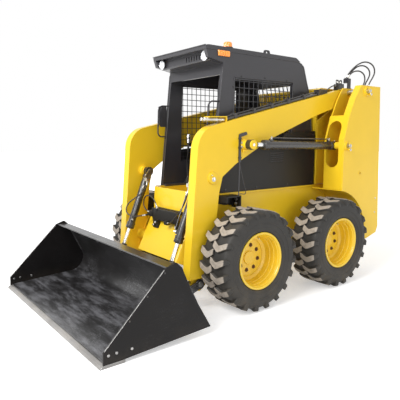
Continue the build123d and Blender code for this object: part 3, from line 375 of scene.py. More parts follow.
class Shape:
    # points and faces gathered for one piece; sizes and places come in millimetres, and are kept in metres

    def __init__(self):
        self.points = []
        self.faces = []
        self.worn = []

    def add(self, points, faces, place=None, worn=None):
        start = len(self.points)
        self.points += [(place @ Vector(p) if place else Vector(p)) / 1000 for p in points]
        self.worn += worn or [0.0] * len(points)
        self.faces += [tuple(start + i for i in face) for face in faces]

    def strips(self, rows, closed=True, ends=True, worn=None):
        # faces between rows of points, each row a ring or an open line
        count = len(rows[0])
        faces = []
        for j in range(0, (len(rows) - 1) * count, count):
            for i in range(count if closed else count - 1):
                k = (i + 1) % count
                faces.append((j + i, j + k, j + count + k, j + count + i))
        if ends:
            faces.append(tuple(reversed(range(count))))
            faces.append(tuple((len(rows) - 1) * count + i for i in range(count)))
        self.add([p for row in rows for p in row], faces, worn=worn)

    def turn(self, profile, place, count=28, ends=True):
        # rows of (radius, height) turned round the z of a place, or of a point and a way
        place = facing(*place) if isinstance(place, tuple) else place
        self.strips([[place @ Vector((u, v, h)) for u, v in ring(count, r)] for r, h in profile], ends=ends)

    def hull(self, points, place=None):
        mesh = bmesh.new()
        for p in points:
            mesh.verts.new(Vector(p) / 1000)
        bmesh.ops.convex_hull(mesh, input=mesh.verts)
        bmesh.ops.delete(mesh, geom=[v for v in mesh.verts if not v.link_faces], context="VERTS")
        mesh.verts.index_update()
        self.add([v.co * 1000 for v in mesh.verts], [[v.index for v in f.verts] for f in mesh.faces], place)
        mesh.free()

    def taper(self, foot, top):
        # block between two level rectangles, each (x0, x1, y0, y1, z)
        self.hull([(x, y, z) for x0, x1, y0, y1, z in (foot, top) for y in (y0, y1) for x in (x0, x1)])

    def block(self, one, other, edge=3, place=None):
        # box between two corners, with its edges taken off
        ends = tuple(zip(map(min, one, other), map(max, one, other)))
        points = []
        for axis in range(3):
            for pick in ((x, y, z) for x in (0, 1) for y in (0, 1) for z in (0, 1)):
                points.append([ends[k][pick[k]] + (0 if k == axis else -edge if pick[k] else edge) for k in range(3)])
        self.hull(points, place)

    def tube(self, path, radius, count=12, ripple=0.0, ends=True):
        # round tube along points; a ripple makes it a weld bead
        path = [Vector(p) for p in path]
        rows = []
        side = None
        for i, p in enumerate(path):
            along = (path[min(i + 1, len(path) - 1)] - path[max(i - 1, 0)]).normalized()
            side = side or along.orthogonal().normalized()
            side = (side - along * side.dot(along)).normalized()
            up = along.cross(side)
            rows.append([p + side * u + up * v for u, v in ring(count, radius * (1 + ripple * math.sin(i * 2.4)))])
        self.strips(rows, ends=ends)

    def weld(self, start, end, radius=4):
        start, end = Vector(start), Vector(end)
        count = max(4, math.ceil((end - start).length / 4) - 1)
        self.tube([start.lerp(end, i / count) for i in range(count + 1)], radius, count=7, ripple=0.22)

    def bead(self, middle, reach, radius=3, ripple=0.25, count=60):
        # weld bead in a ring that faces sideways
        x, y, z = middle
        line = [(x, y + u, z + v) for u, v in ring(count, reach)]
        self.tube(line + line[:1], radius, count=6, ripple=ripple, ends=False)

    def bolt(self, point, way, size=9, washer=True):
        # hexagon head with a chamfer, over a washer
        place = facing(point, way)
        if washer:
            self.turn(((size * 1.5, 0), (size * 1.5, size * 0.16), (size * 1.42, size * 0.24)), place, 20)
        foot = size * 0.22 if washer else 0.0
        self.turn(((size, foot), (size, foot + size * 0.62), (size * 0.86, foot + size * 0.74)), place, 6)

    def make(self, name, finish, body, slot=None, bend=32, replaced=()):
        mesh = bpy.data.meshes.new(name)
        mesh.from_pydata([tuple(p) for p in self.points], [], self.faces)
        mesh.validate()
        if any(self.worn):
            mark = mesh.attributes.new("worn", "FLOAT", "POINT")
            mark.data.foreach_set("value", self.worn)
        tidy = bmesh.new()
        tidy.from_mesh(mesh)
        bmesh.ops.recalc_face_normals(tidy, faces=tidy.faces)
        tidy.to_mesh(mesh)
        tidy.free()
        mesh.polygons.foreach_set("use_smooth", [True] * len(mesh.polygons))
        mesh.set_sharp_from_angle(angle=math.radians(bend))
        piece = bpy.data.objects.new(name, mesh)
        bpy.context.collection.objects.link(piece)
        mesh.materials.append(finishes[finish])
        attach(piece, body)
        if replaced:
            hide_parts(*replaced)
        return piece


def newShapes(count):
    return [Shape() for _ in range(count)]


# hoses: smooth lines through their routes' points

hoseSettings = {
    "sleeve": 30,
    # (share of the sleeve's length, how far it stands out)
    "bands": ((-0.02, 2.6), (0.0, 2.8), (0.10, 2.8), (0.12, 1.6), (0.18, 1.6), (0.20, 2.5), (0.34, 2.6), (0.36, 2.1),
              (0.46, 2.1), (0.48, 2.6), (0.62, 2.6), (0.64, 2.1), (0.74, 2.1), (0.76, 2.6), (0.94, 2.5), (1.0, 1.0),
              (1.0, 0.05)),
    # name: (body, diameter, real length, route)
    "routes": {
        "tilt_hose_a": ("lift_arms", 11, 551, (
            (-322, -455, 948), (-317, -474, 900), (-308, -520, 852), (-328, -582, 812), (-366, -630, 766),
            (-375, -655, 716), (-344, -660, 672), (-292, -633, 650), (-255, -582, 653), (-232, -535, 662))),
        "tilt_hose_b": ("lift_arms", 11, 430, (
            (-238, -484, 684), (-288, -490, 692), (-326, -494, 730), (-322, -498, 784), (-284, -502, 824),
            (-228, -504, 842), (-168, -502, 832), (-122, -498, 796), (-108, -492, 750))),
        "tilt_hose_c": ("lift_arms", 11, 461, (
            (322, -455, 948), (322, -466, 894), (318, -490, 830), (306, -522, 768), (268, -546, 712),
            (214, -548, 668), (150, -532, 640), (98, -512, 632))),
        "hose_loop_a": ("chassis", 13, 538, (
            (552, 1281, 1934), (573, 1297, 1976), (603, 1321, 2022), (639, 1350, 2060), (680, 1383, 2080),
            (722, 1417, 2067), (751, 1441, 2027), (758, 1446, 1972), (743, 1434, 1923), (722, 1417, 1877),
            (711, 1409, 1832))),
        "hose_loop_b": ("chassis", 13, 443, (
            (555, 1309, 1934), (570, 1321, 1975), (595, 1341, 2015), (628, 1367, 2045), (668, 1399, 2047),
            (702, 1427, 2016), (714, 1437, 1965), (701, 1426, 1918), (683, 1412, 1876), (674, 1404, 1832))),
        "hose_loop_c": ("chassis", 13, 317, (
            (575, 1274, 1934), (591, 1287, 1962), (620, 1310, 1991), (661, 1343, 1993), (693, 1369, 1961),
            (702, 1376, 1909), (694, 1369, 1866), (683, 1360, 1830))),
    },
}


def follow(points, far):
    # place and way at a distance along a line of points
    for a, b in zip(points, points[1:]):
        step = (b - a).length
        if far <= step or b is points[-1]:
            return a.lerp(b, min(1.0, far / max(step, 1e-6))), (b - a).normalized()
        far -= step


def makeHose(name, body, diameter, length, route):
    route = [tuple(v / 1000 for v in point) for point in route]
    curve = bpy.data.curves.new(name, "CURVE")
    curve.dimensions = "3D"
    line = curve.splines.new("NURBS")
    line.points.add(len(route) - 1)
    for point, place in zip(line.points, route):
        point.co = (*place, 1.0)
    line.order_u = 3
    line.use_endpoint_u = True
    curve.resolution_u = 10
    hose = bpy.data.objects.new(name.replace("_", "."), curve)
    bpy.context.collection.objects.link(hose)
    drawn = bpy.data.meshes.new_from_object(hose)
    followed = [v.co * 1000 for v in drawn.vertices]
    bpy.data.meshes.remove(drawn)
    curve.bevel_depth = diameter / 2000
    curve.bevel_resolution = 5
    curve.use_fill_caps = True
    curve.materials.append(finishes["hose_rubber"])
    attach(hose, body)
    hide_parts(name)
    # crimped sleeves at both ends, turned round the line itself
    sleeves = Shape()
    for points in (followed, followed[::-1]):
        rows = []
        for share, grow in hoseSettings["bands"]:
            middle, way = follow(points, max(0.0, share) * hoseSettings["sleeve"])
            turned = way.to_track_quat("Z", "Y")
            rows.append([middle + turned @ Vector((u, v, 0)) for u, v in ring(18, diameter / 2 + grow)])
        sleeves.strips(rows)
        sleeves.bolt(*follow(points, 0.0), diameter / 2 + 4.2, washer=False)
    piece = sleeves.make(f"sleeves.{name}", "zinc_steel", body)


for name, values in hoseSettings["routes"].items():
    makeHose(name, *values)
print("hoses ready:", len(hoseSettings["routes"]))


# tyres: a ribbed carcass, and two rows of bent bars that wrap the shoulders

tyreSettings = {
    "middle": 729.5,
    "axles": ((-150, "front"), (874, "rear")),
    "height": 404.165,
    "steps": 120,
    "bars": 20,
    # (offset across, radius) from the bead round the sidewall to the middle
    "section": ((121, 215.5), (122.5, 230), (129, 232.5), (134.5, 239), (138.5, 247), (142.5, 260), (144, 263),
                (145.2, 263.2), (145.5, 266.2), (145, 269), (146.5, 285), (147.2, 298.5), (149, 299.5),
                (149.2, 303.5), (147.6, 305), (147.4, 325), (144.6, 344), (139, 360), (129, 373), (116, 380),
                (90, 382.5), (45, 383.8), (0, 384)),
    # (offset across, radius) on top, the same under it, run round the tread, half width
    "bar": ((-9, 404.1, -9, 380, 16.5, 21.5), (-4, 404.1, -4, 380, 14.5, 25), (10, 404.1, 10, 380, 6, 26.2),
            (26, 404.1, 26, 380, -4.5, 26.2), (42, 404.1, 42, 380, -13, 26.2), (52, 404.1, 52, 380, -15.5, 26.2),
            (62, 404.1, 62, 380, -14, 26), (80, 404.1, 80, 379, -7, 25.8), (100, 404.1, 98, 378, 3, 25.5),
            (118, 403.6, 112, 376, 11, 25), (131, 401.2, 120, 372, 16.5, 23.5), (141, 395.5, 125, 366, 20.5, 22),
            (147.5, 386, 129, 358, 23, 20), (149.8, 374, 133, 350, 24, 18), (150, 360, 137, 342, 24, 15.5),
            (148.8, 347, 140, 334, 23.5, 12.5)),
}


def makeTyre(side, hand, axleY, end):
    t = tyreSettings
    shape = Shape()

    def spot(across, radius, angle):
        return (side * (t["middle"] + across), axleY - radius * math.cos(angle), t["height"] + radius * math.sin(angle))

    section = t["section"] + tuple((-x, r) for x, r in reversed(t["section"][:-1]))
    turns = [2 * math.pi * i / t["steps"] for i in range(t["steps"])]
    shape.strips([[spot(x, r, a) for a in turns] for x, r in section], ends=False)
    for half, first in ((1, 0.25), (-1, 0.75)):
        for i in range(t["bars"]):
            middle = math.radians(360 / t["bars"] * (i + first))
            rows, worn = [], []
            for x1, r1, x0, r0, run, wide in t["bar"]:
                wide *= 1 + random.uniform(-0.03, 0.03)
                down = Vector((x0 - x1, r0 - r1)).normalized() * 4
                shoulder = (x1 + down.x, r1 + down.y)
                across = ((x0, r0, run - wide - 5, 0.0), (*shoulder, run - wide, 0.45), (x1, r1, run - wide + 3, 1.0),
                          (x1, r1, run + wide - 3, 1.0), (*shoulder, run + wide, 0.45), (x0, r0, run + wide + 5, 0.0))
                rows.append([spot(half * x, r, middle + s / 390) for x, r, s, _ in across])
                worn += [share * (0.35 if x1 > 135 else 1.0) for *_, share in across]
            shape.strips(rows, closed=False, worn=worn)
    shape.make(f"tyre.{end}.{hand}", "tyre_rubber", f"wheel_{end}_{hand}", bend=30, replaced=[f"tyre_{end}_{hand}"])


rimSettings = {
    "face": 717.2,
    "nutRing": 101.6,
    "nuts": 8,
    "firstNut": 33,
    "valve": 74,
    # (radius, offset across): lip, stepped barrel, disc, and back to the lip
    "section": ((227, 124.5), (228, 129), (227.2, 133), (224, 134.8), (216, 134.8), (211, 132.5), (207.5, 127),
                (205.5, 118), (201.5, 114), (200.5, 108), (199, 82), (195, 78), (194, 72), (192.5, 42), (188.5, 38),
                (187.5, 32), (184.5, 8), (179, -2), (165, -9), (152, -12), (150, -12.5), (56, -12.5), (54, -10.5),
                (53, -4), (50.5, -2), (20, -2), (0.4, -3.5), (0.4, -24.5), (173, -24.5), (201, -134.5),
                (227.5, -134.5), (228, -124.5), (213.5, -124.5),
                (213.5, 124.5), (227, 124.5)),
}


def makeRimFittings(side, hand, axleY, end):
    r = rimSettings
    rim, nuts, valve, bead = newShapes(4)
    body = f"wheel_{end}_{hand}"
    way = (side, 0, 0)
    z = tyreSettings["height"]
    rim.turn(r["section"], ((side * tyreSettings["middle"], axleY, z), way), 96, ends=False)
    rim.make(f"rim.{end}.{hand}", "rim_paint", body, bend=28, replaced=[f"rim_{end}_{hand}"])
    for i in range(r["nuts"]):
        a = math.radians(r["firstNut"] + 360 / r["nuts"] * i)
        point = (side * r["face"], axleY + r["nutRing"] * math.cos(a), z + r["nutRing"] * math.sin(a))
        nuts.bolt(point, way, 11.5)
        nuts.turn(((6.2, 4), (6.2, 15.5), (4.8, 17.5)), (point, way), 14)
    nuts.make(f"wheelNuts.{end}.{hand}", "nutIron", body, slot="zinc_steel")
    # valve on the barrel of the rim, with its guard
    a = math.radians(r["valve"])
    out = Vector((0, math.cos(a), math.sin(a)))
    root = Vector((side * (r["face"] + 32), axleY, z)) + out * 190
    tip = root - out * 20 + Vector((side * 30, 0, 0))
    valve.tube([root + out * 12, root, root.lerp(tip, 0.5), tip], 4.6, count=10)
    valve.turn(((6, 0), (6, 10), (4.5, 12)), (tip, tip - root), 12)
    valve.make(f"valve.{end}.{hand}", "zinc_steel", body)
    # ring welded where the disc meets the barrel
    bead.bead((side * (r["face"] + 1), axleY, z), 151.5, 3.5, 0.2, 150)
    bead.make(f"rimWeld.{end}.{hand}", "rim_paint", body)


for axleY, end in tyreSettings["axles"]:
    for side, hand in sides:
        makeTyre(side, hand, axleY, end)
        makeRimFittings(side, hand, axleY, end)
print("wheels ready")


# bucket: bolts, wear strip, gussets under the lip, welds and a bright slanted edge

bucketSettings = {
    "inside": 943.7,
    "sideBolts": ((-1510, 76), (-1456, 78), (-1352, 75)),
    "rivets": ((-1236, 380), (-1106, 506), (-1364, 252)),
    "slope": ((-1533.5, 105.4), (-1107, 525.2)),
    "gussets": ((-310, -150), (40, 280)),
}


def makeBucketFittings():
    b = bucketSettings
    bolts, rivets, edges, strip, welds = newShapes(5)
    for side, hand in sides:
        for y, z in b["sideBolts"]:
            for x, way in ((956.2, side), (943.8, -side)):
                bolts.turn(((9.5, 0), (9.5, 1.2), (8, 3), (4, 4)), ((side * x, y, z), (way, 0, 0)), 20)
        for y, z in b["rivets"]:
            rivets.turn(((6.2, 0), (5.5, 1.8), (3, 3)), ((side * 956.2, y, z), (side, 0, 0)), 16)
        # bare slanted edge of the side plate
        low, high = (Vector((side * 950, *at)) for at in b["slope"])
        up = Vector((0, -(high - low).z, (high - low).y)).normalized()
        rows = []
        for i in range(25):
            p = low.lerp(high, i / 24) - up
            w = 5.6 + random.uniform(-0.4, 0.4)
            rows.append([p + Vector((w * share, 0, 0)) + up * rise for share,
                         rise in ((-1, 0), (-0.7, 2.2), (0.7, 2.2), (1, 0))])
        edges.strips(rows)
        x = side * b["inside"]
        welds.weld((x, -1400, 24.5), (x, -915, 50.5), 4.5)
        welds.weld((x, -826.5, 200), (x, -974.5, 500), 4.5)
    bolts.make("bucketBolts", "wornSteel", "bucket", slot="zinc_steel")
    rivets.make("bucketRivets", "darkBolt", "bucket", slot="bucket_paint")
    edges.make("bucketBareEdges", "wornSteel", "bucket", slot="bucket_paint")
    # strip welded over the cutting edge, and gussets under the lip
    high = Vector(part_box("cutting_edge")[1]) * 1000
    strip.block((-942, high.y - 30, high.z + 8.5), (942, high.y + 2, high.z + 12.5), 1.5)
    for x0, x1 in b["gussets"]:
        rows = []
        for i in range(13):
            t = i / 12
            x = x0 + (x1 - x0) * t
            foot = 537.2 - (30 if 0.12 < t < 0.55 else 52 if 0.70 <= t < 0.95 else 16)
            rows.append([(x, -1058, 537.2), (x, -1058, 531.2), (x, -1040, foot), (x, -1035.5, foot), (x, -1050, 537.2)])
        strip.strips(rows)
    strip.make("bucketStrips", "bucket_paint", "bucket", bend=25)
    welds.weld((-900, -1400, 21.5), (900, -1400, 21.5), 3)
    welds.make("bucketWelds", "bucket_paint", "bucket")


# arms: pin bolts, weld beads, the prop's rod, grease nipples

armSettings = {"outer": 565, "inner": 475, "tiltPin": (-400, 1045), "liftPin": (-70, 1300)}


def makeArmFittings():
    a = armSettings
    bolts, rings, nipples, welds, prop = newShapes(5)
    for side, hand in sides:
        way = (side, 0, 0)
        face, cap = side * (a["outer"] + 0.2), side * (a["outer"] + 10.5)
        y, z = a["tiltPin"]
        rings.turn(((47, 0), (47, 6), (44, 10), (0, 10.5)), ((face, y, z), way), 40)
        bolts.bolt((cap, y + 4, z - 10), way, 12.5)
        nipples.turn(((4.5, 0), (4.5, 5), (2.8, 8), (3.2, 11)), ((cap, y - 16, z + 22), way), 12)
        y, z = a["liftPin"]
        rings.turn(((46, 0), (46, 8), (43, 12), (37, 12.2)), ((face, y, z), way), 40)
        # keeper of the lift pin: a lug and two bolts beside the boss
        rings.block((-20, -60, 0), (20, -40, 18), 3, facing((face, y, z), way))
        for rise in (14.4, -16.2):
            bolts.bolt((side * (a["outer"] + 12.2), y - 36, z + rise), way, 7.5)
        # beads round the bosses and down the leg's seam
        welds.bead((side * (a["outer"] + 0.8), *a["tiltPin"]), 49)
        welds.bead((side * (a["outer"] + 0.8), *a["liftPin"]), 48)
        welds.bead((side * (a["inner"] - 0.8), *a["tiltPin"]), 51, 3.5)
        x = side * (a["inner"] - 0.5)
        welds.weld((x, -474.5, 350), (x, -322.5, 654))
    bolts.make("armPinBolts", "zinc_steel", "lift_arms")
    rings.make("armPinRings", "yellow_paint", "lift_arms")
    nipples.make("armNipples", "zinc_steel", "lift_arms")
    welds.make("armWelds", "yellow_paint", "lift_arms")
    # the prop's rod goes on below the arm, with its spring wire
    prop.tube([(569.8, y, z) for y, z in ((-123, 1175), (-124, 1120), (-127, 1000), (-130, 888))], 4.8)
    wire = ((-112, 1100), (-82, 1000), (-60, 940), (-52, 916), (-54, 902), (-66, 894), (-86, 896), (-104, 900))
    prop.tube([(570, -123, 1150), *((571.2, y, z) for y, z in wire), (570.5, -124, 898)], 3, count=8)
    for z in (1190, 1270, 1345):
        prop.block((565.5, -140, z), (577.5, -106, z + 10), 2)
    prop.make("propRod", "black_paint", "lift_arms")


# cylinders: gland nuts, ports with their fittings, feed pipes and rod wipers

cylinderSettings = {
    # kind: (middle x, base pin, eye pin, bore, rod, gland and base port from the base pin,
    # way of the ports (outward, up))
    "lift": (645, (996, 1282), (-70, 1300), 36, 20, 931.1, 85, (0.25, 0.97)),
    "tilt": (390, (-400, 1045), (-688, 338), 33, 18, 558.4, 150, (-0.86, 0.50)),
}


def makeCylinderFittings(kind, side, hand):
    middle, base, eye, bore, rod, gland, basePort, (outward, rise) = cylinderSettings[kind]
    black, silver, seal, cover, cap = newShapes(5)
    body = f"{kind}_barrel_{hand}"
    start, pin = (Vector((side * middle, *at)) for at in (base, eye))
    run = (pin - start).normalized()
    up = Vector((0, -run.z, run.y))
    up = up if (up.z > 0 if kind == "lift" else up.y < 0) else -up
    out = (Vector((side, 0, 0)) * outward + up * rise).normalized()
    place = facing(start, run)
    collars = ((4.1, -54), (6.2, -52), (6.2, -36), (4.2, -34), (4.2, -26), (6, -24), (6, -4), (3, 1.2), (-8, 1.4))
    black.turn([(bore + grow, gland + at) for grow, at in collars], place, 40, ends=False)
    black.turn([(bore + grow, at) for grow, at in ((0.2, 40), (4.2, 42), (4.2, 60), (0.2, 63))], place, 40, ends=False)
    bead = [place @ Vector((u, v, 64.5)) for u, v in ring(60, bore + 0.5)]
    black.tube(bead + bead[:1], 3, count=6, ripple=0.25, ends=False)
    ports = []
    for far in (basePort, gland - 80):
        root = start + run * far + out * (bore - 2)
        lay = Matrix.Translation(root) @ Matrix([run, out.cross(run), out]).transposed().to_4x4()
        black.block((-17, -14, 0), (17, 14, 16), 3, lay)
        ports.append(root + out * 16)
    # pipe from the gland's port back along the barrel
    foot, head = ports
    path = [head - run * 6, head + out * 8.4 - run * 12, head + out * 10.5 - run * 34]
    path += [head.lerp(foot, share) + out * 10.5 for share in (0.2, 0.5, 0.8)]
    path += [foot + out * 10.5 + run * 50, foot + out * 11.2 + run * 26]
    black.tube(path, 5.2, count=10)
    black.make(f"{kind}Collars.{hand}", "cylinder_paint", body)
    for port in ports:
        silver.bolt(port - out * 0.5, out, 9.5, washer=False)
        silver.turn(((6.2, 0), (6.2, 12), (7.5, 13), (7.5, 20), (4.5, 22)), (port, out), 14)
    silver.bolt(foot + out * 11.2 + run * 22, run, 8.5, washer=False)
    silver.turn(((6, 0), (6, 20)), (foot + out * 11.2 + run * 2, run), 12)
    silver.turn(((3.6, 0), (3.6, 4), (2.2, 7), (2.6, 10)), (start + out * 39.5, out), 10)
    silver.make(f"{kind}Fittings.{hand}", "zinc_steel", body)
    seal.turn(((bore - 6, gland + 1), (rod + 6, gland + 5), (rod + 1.2, gland + 5.2), (rod + 0.8, gland + 1)), place,
              32, ends=False)
    seal.make(f"{kind}Wiper.{hand}", "black_plastic", body)
    # painted eye round the rod's pin, with a bolted cap on the lift cylinder
    eyePlace = facing(pin, (side, 0, 0))
    cover.turn(((39.5, -25.4), (41.2, -24), (41.2, 24), (39.5, 25.4), (22.5, 25.6), (22.5, 25.2)), eyePlace, 44,
               ends=False)
    cover.turn(((22.5, -25.2), (22.5, -25.6), (39.5, -25.4)), eyePlace, 44, ends=False)
    cover.turn(((rod + 0.4, 0), (rod + 6, 2), (rod + 7, 20), (rod + 4, 26)), (pin - run * 58, run), 32, ends=False)
    cover.make(f"{kind}Eye.{hand}", "cylinder_paint", f"{kind}_rod_{hand}")
    if kind == "lift":
        cap.turn(((37.5, 25.6), (37.5, 33), (35, 36), (13, 36.4), (12, 34), (0.4, 33.8)), eyePlace, 40, ends=False)
        cap.make(f"liftEyeCap.{hand}", "yellow_paint", f"lift_rod_{hand}", slot="cylinder_paint")


# towers: pin plates and bolts, welds, and small screws at the foot

towerSettings = {
    "outer": 795,
    "pinEnd": 825,
    # (y, z, turn of the keeper, radius)
    "pins": ((1270, 1788, 0.6, 40), (996, 1282, 0.2, 36)),
    # (x, start, end)
    "seams": ((782.5, (950.5, 885), (950.5, 1338)), (782.5, (951, 1342), (1020.5, 1560)),
              (782.5, (1494.5, 1800), (1567.5, 480)), (440, (-200, 885.5), (930, 885.5))),
}


def makeTowerFittings():
    t = towerSettings
    bolts, plates, welds = newShapes(3)
    for side, hand in sides:
        way = (side, 0, 0)
        face = side * (t["outer"] + 0.2)
        for y, z, turn, radius in t["pins"]:
            # keeper plate across the pin's end, on the boss
            plates.turn(((radius + 6, 0), (radius + 6, 4), (radius + 3, 7), (radius, 7.5)), ((face, y, z), way), 40)
            lay = Matrix.Translation((side * (t["pinEnd"] + 0.2), y, z)) @ Matrix.Rotation(turn * side, 4, "X")
            plates.block((-side, -12, -50), (5 * side, 12, 30), 2, lay)
            bolts.bolt((side * (t["pinEnd"] + 5), y, z), way, 11.5)
            foot = lay @ Vector((5 * side, 0, -36))
            bolts.bolt(foot, way, 8.5)
            welds.bead((side * (t["outer"] + 0.8), y, z), radius + 8)
            # spacer between the keeper's free end and the tower
            plates.turn(((9, 0), (9, 28.5)), ((face, foot.y, foot.z), way), 16)
        # screws of the closing plate low on the tower's rear edge
        for z in (620, 760):
            bolts.turn(((8, 0), (7, 3), (3, 4)), ((side * (t["outer"] + 0.1), 1500, z), way), 16)
        for x, start, end in t["seams"]:
            welds.weld((side * x, *start), (side * x, *end), 3)
    bolts.make("towerBolts", "zinc_steel", "chassis")
    plates.make("towerKeepers", "yellow_paint", "chassis")
    welds.make("towerWelds", "yellow_paint", "chassis")


makeBucketFittings()
makeArmFittings()
for kind in cylinderSettings:
    for side, hand in sides:
        makeCylinderFittings(kind, side, hand)
makeTowerFittings()
print("bucket, arms, cylinders and towers ready")


# cab: roof seams, screen bolts, header, lamps and what stands inside

cabSettings = {
    "half": 389,
    "roofTop": 2088,
    "lip": ((-324, 2056), (-100, 2053.5), (300, 2053.5), (760, 2053.5), (812, 2040), (846, 2010), (868, 1945),
            (928, 1800), (960, 1640), (986, 1405), (986, 1200), (986, 930)),
    "window": ((-30, 1150), (-10, 1838), (680, 1844), (672, 1150)),
    "seal": ((-49, 1131), (-30, 1856), (700, 1862), (690, 1131), (-49, 1131)),
    "mirror": ((-283, 1600), (-262, 1640), (-230, 1650), (-205, 1650), (-205, 1456), (-268, 1455), (-286, 1480)),
    "loom": ((-130, 1820), (-138, 1700), (-150, 1580), (-165, 1420), (-180, 1280)),
    "lamp": (312, -278.3, 2013, 39),
    "beacon": (330, -52),
}


def makeCabTrim():
    c = cabSettings
    trim, bolts, loom = newShapes(3)
    for side, hand in sides:
        x = side * (c["half"] + 0.6)
        # folded lip along the roof's sides, and the seam down the rear corner
        trim.tube([(x, y, z) for y, z in c["lip"]], 3.2, count=8)
        for (y0, z0), (y1, z1) in zip(c["window"], c["window"][1:] + c["window"][:1]):
            for share in (0.12, 0.5, 0.88):
                y, z = y0 + (y1 - y0) * share, z0 + (z1 - z0) * share
                out = Vector((0, y - 330, z - 1490)).normalized() * 34
                bolts.bolt((side * (c["half"] + 0.1), y + out.y, z + out.z), (side, 0, 0), 6.2)
        # rubber round the window
        for a, b in zip(c["seal"], c["seal"][1:]):
            trim.tube([(x, *a), (x, *b)], 4.2, count=8)
        # edge folds of the front pillar
        for at, last, radius in ((388.5, 1.0, 3.5), (355.5, 0.90, 3)):
            trim.tube([(side * at, -262.5 + 112 * s, 905 + 1026 * s) for s in (0, 0.25, 0.5, 0.75, last)], radius,
                      count=8)
        # feet of the cab, bolted to the frame's flange
        for y in (-215, 300, 860):
            trim.block((side * 389, y - 35, 900.8), (side * 415, y + 35, 908.5), 2)
            for dy in (-18, 18):
                bolts.bolt((side * 403, y + dy, 908.5), (0, 0, 1), 6.5)
    for y, z, radius in ((-333.5, 2083.5, 3.5), (-326.5, 2053.5, 3.2)):
        trim.tube([(x, y, z) for x in (-388, -200, 0, 200, 388)], radius, count=8)
    # ribs pressed along the roof
    for x in range(-200, 201, 100):
        trim.taper((x - 16, x + 16, -200, 620, 2087.6), (x - 7, x + 7, -185, 605, 2092.5))
    # mirror's housing on the right rail
    trim.hull([(x, y * g - 245 * (1 - g), z * g + 1550 * (1 - g))
               for x, g in ((-363.5, 0.97), (-366.5, 1), (-377.5, 1), (-380.5, 0.97)) for y, z in c["mirror"]])
    trim.make("cabTrim", "black_paint", "chassis")
    bolts.make("cabBolts", "darkBolt", "chassis", slot="black_paint")
    # loom clipped inside the left pillar, and a lamp switch box under the roof
    loom.tube([(338, -118, 1905), *((336, y, z) for y, z in c["loom"])], 9, ripple=0.10)
    for y, z in ((-132, 1800), (-147, 1620), (-163, 1440)):
        loom.block((322, y - 13, z), (354, y + 13, z + 12), 2)
    loom.block((-100, -118, 1895), (100, -60, 1945), 6)
    loom.make("cabLoom", "black_plastic", "chassis")


def pillow(u, v, power, soft=0.5):
    # 1 over the middle, falling to 0 at the edges
    return (max(0, 1 - abs(u) ** power) * max(0, 1 - abs(v) ** power)) ** soft


def spread(count):
    return [-1 + 2 * i / count for i in range(count + 1)]


def makeLamps():
    x, y, z, r = cabSettings["lamp"]
    bx, by = cabSettings["beacon"]
    bz = cabSettings["roofTop"]
    bezels, glass, foot, dome, base, frames, reds = newShapes(7)
    for side, hand in sides:
        place = facing((side * x, y, z), (0, -1, 0))
        bezels.turn(((r - 1, 0), (r + 2.5, 2), (r + 2.5, 8.5), (r - 2, 10.5), (r - 6, 8), (r - 7, 4)), place, 48,
                    ends=False)
        glass.turn(((r - 5.5, 4.5), (r - 6.5, 8.5), (r * 0.66, 11.8), (r * 0.33, 13.4), (0.8, 13.8)), place, 48,
                   ends=False)
    bezels.make("lampBezels", "chromeTrim", "chassis", slot="rod_chrome")
    glass.make("lampGlass", "lamp_glass", "chassis", replaced=["headlamps"])
    # beacon: foot and ribbed dome
    foot.turn(((46, 0.2), (47, 4), (46, 10), (40, 13)), ((bx, by, bz), (0, 0, 1)), 40)
    foot.make("beaconFoot", "black_plastic", "chassis")
    rows = []
    for h, radius in ((12.5, 36.5), (18, 36.5), (28, 35.5), (40, 34.2), (48, 32.5), (53, 28.5), (54.8, 18), (55, 0.8)):
        ribs = [1 + 0.030 * math.cos(math.pi * i / 3) * (h < 50) for i in range(144)]
        rows.append([(bx + u * rib, by + v * rib, bz + h) for (u, v), rib in zip(ring(144, radius), ribs)])
    dome.strips(rows)
    # markers on the cab's sides: pillow lenses with bars, on a dark foot
    for side, hand in sides:
        x0 = side * 389.3
        base.block((x0, -212.5, 2008.5), (x0 + side * 5, -82.5, 2057.5), 1.5)
        for k in range(5):
            dome.strips([[(x0 + side * (5.5 + 10.5 * pillow(u, v, 4)), -196.8 + k * 24.8 + 12.2 * u, 2033 + 22.5 * v)
                          for v in spread(10)] for u in spread(8)], closed=False, ends=False)
    base.make("markerFeet", "black_plastic", "chassis")
    dome.make("orangeLenses", "orange_lens", "chassis", bend=50, replaced=["orange_lamps"])
    # tail lamps: frame with two pillow lenses
    for side, hand in sides:
        low, high = Vector((side * 655, 1538.9, 1180)), Vector((side * 655, 1519.9, 1340))
        up, wide = (high - low).normalized(), Vector((1, 0, 0))
        lay = Matrix.Translation((low + high) / 2) @ Matrix([wide, up.cross(wide), up]).transposed().to_4x4()
        frames.block((-45, 0.6, -80), (45, 16.6, 80), 4, lay)
        for middle in (-39, 39):
            reds.strips([[lay @ Vector((39 * u, 16.4 + 13 * pillow(u, v, 5), middle + 35 * v)) for v in spread(12)]
                         for u in spread(12)], closed=False, ends=False)
    frames.make("tailFrames", "black_plastic", "chassis")
    reds.make("tailLenses", "red_lens", "chassis", bend=50, replaced=["tail_lamps"])


seatSettings = {
    "width": 236,
    "steps": 44,
    "crown": 14,
    "bolster": 12,
    "piping": 4.5,
    # (name, seam, middle, lean, half depth, thickness, channels across u and v)
    "pads": (("seatCushion", "seatSeamLow", (0, 325, 1066), 3, 232, 72, (-0.5, 0.5), (-0.42, 0.0, 0.42)),
             ("seatBack", "seatSeamHigh", (0, 622, 1372), 81.5, 252, 58, (-0.5, 0.5), (-0.55, -0.2, 0.15, 0.5))),
}


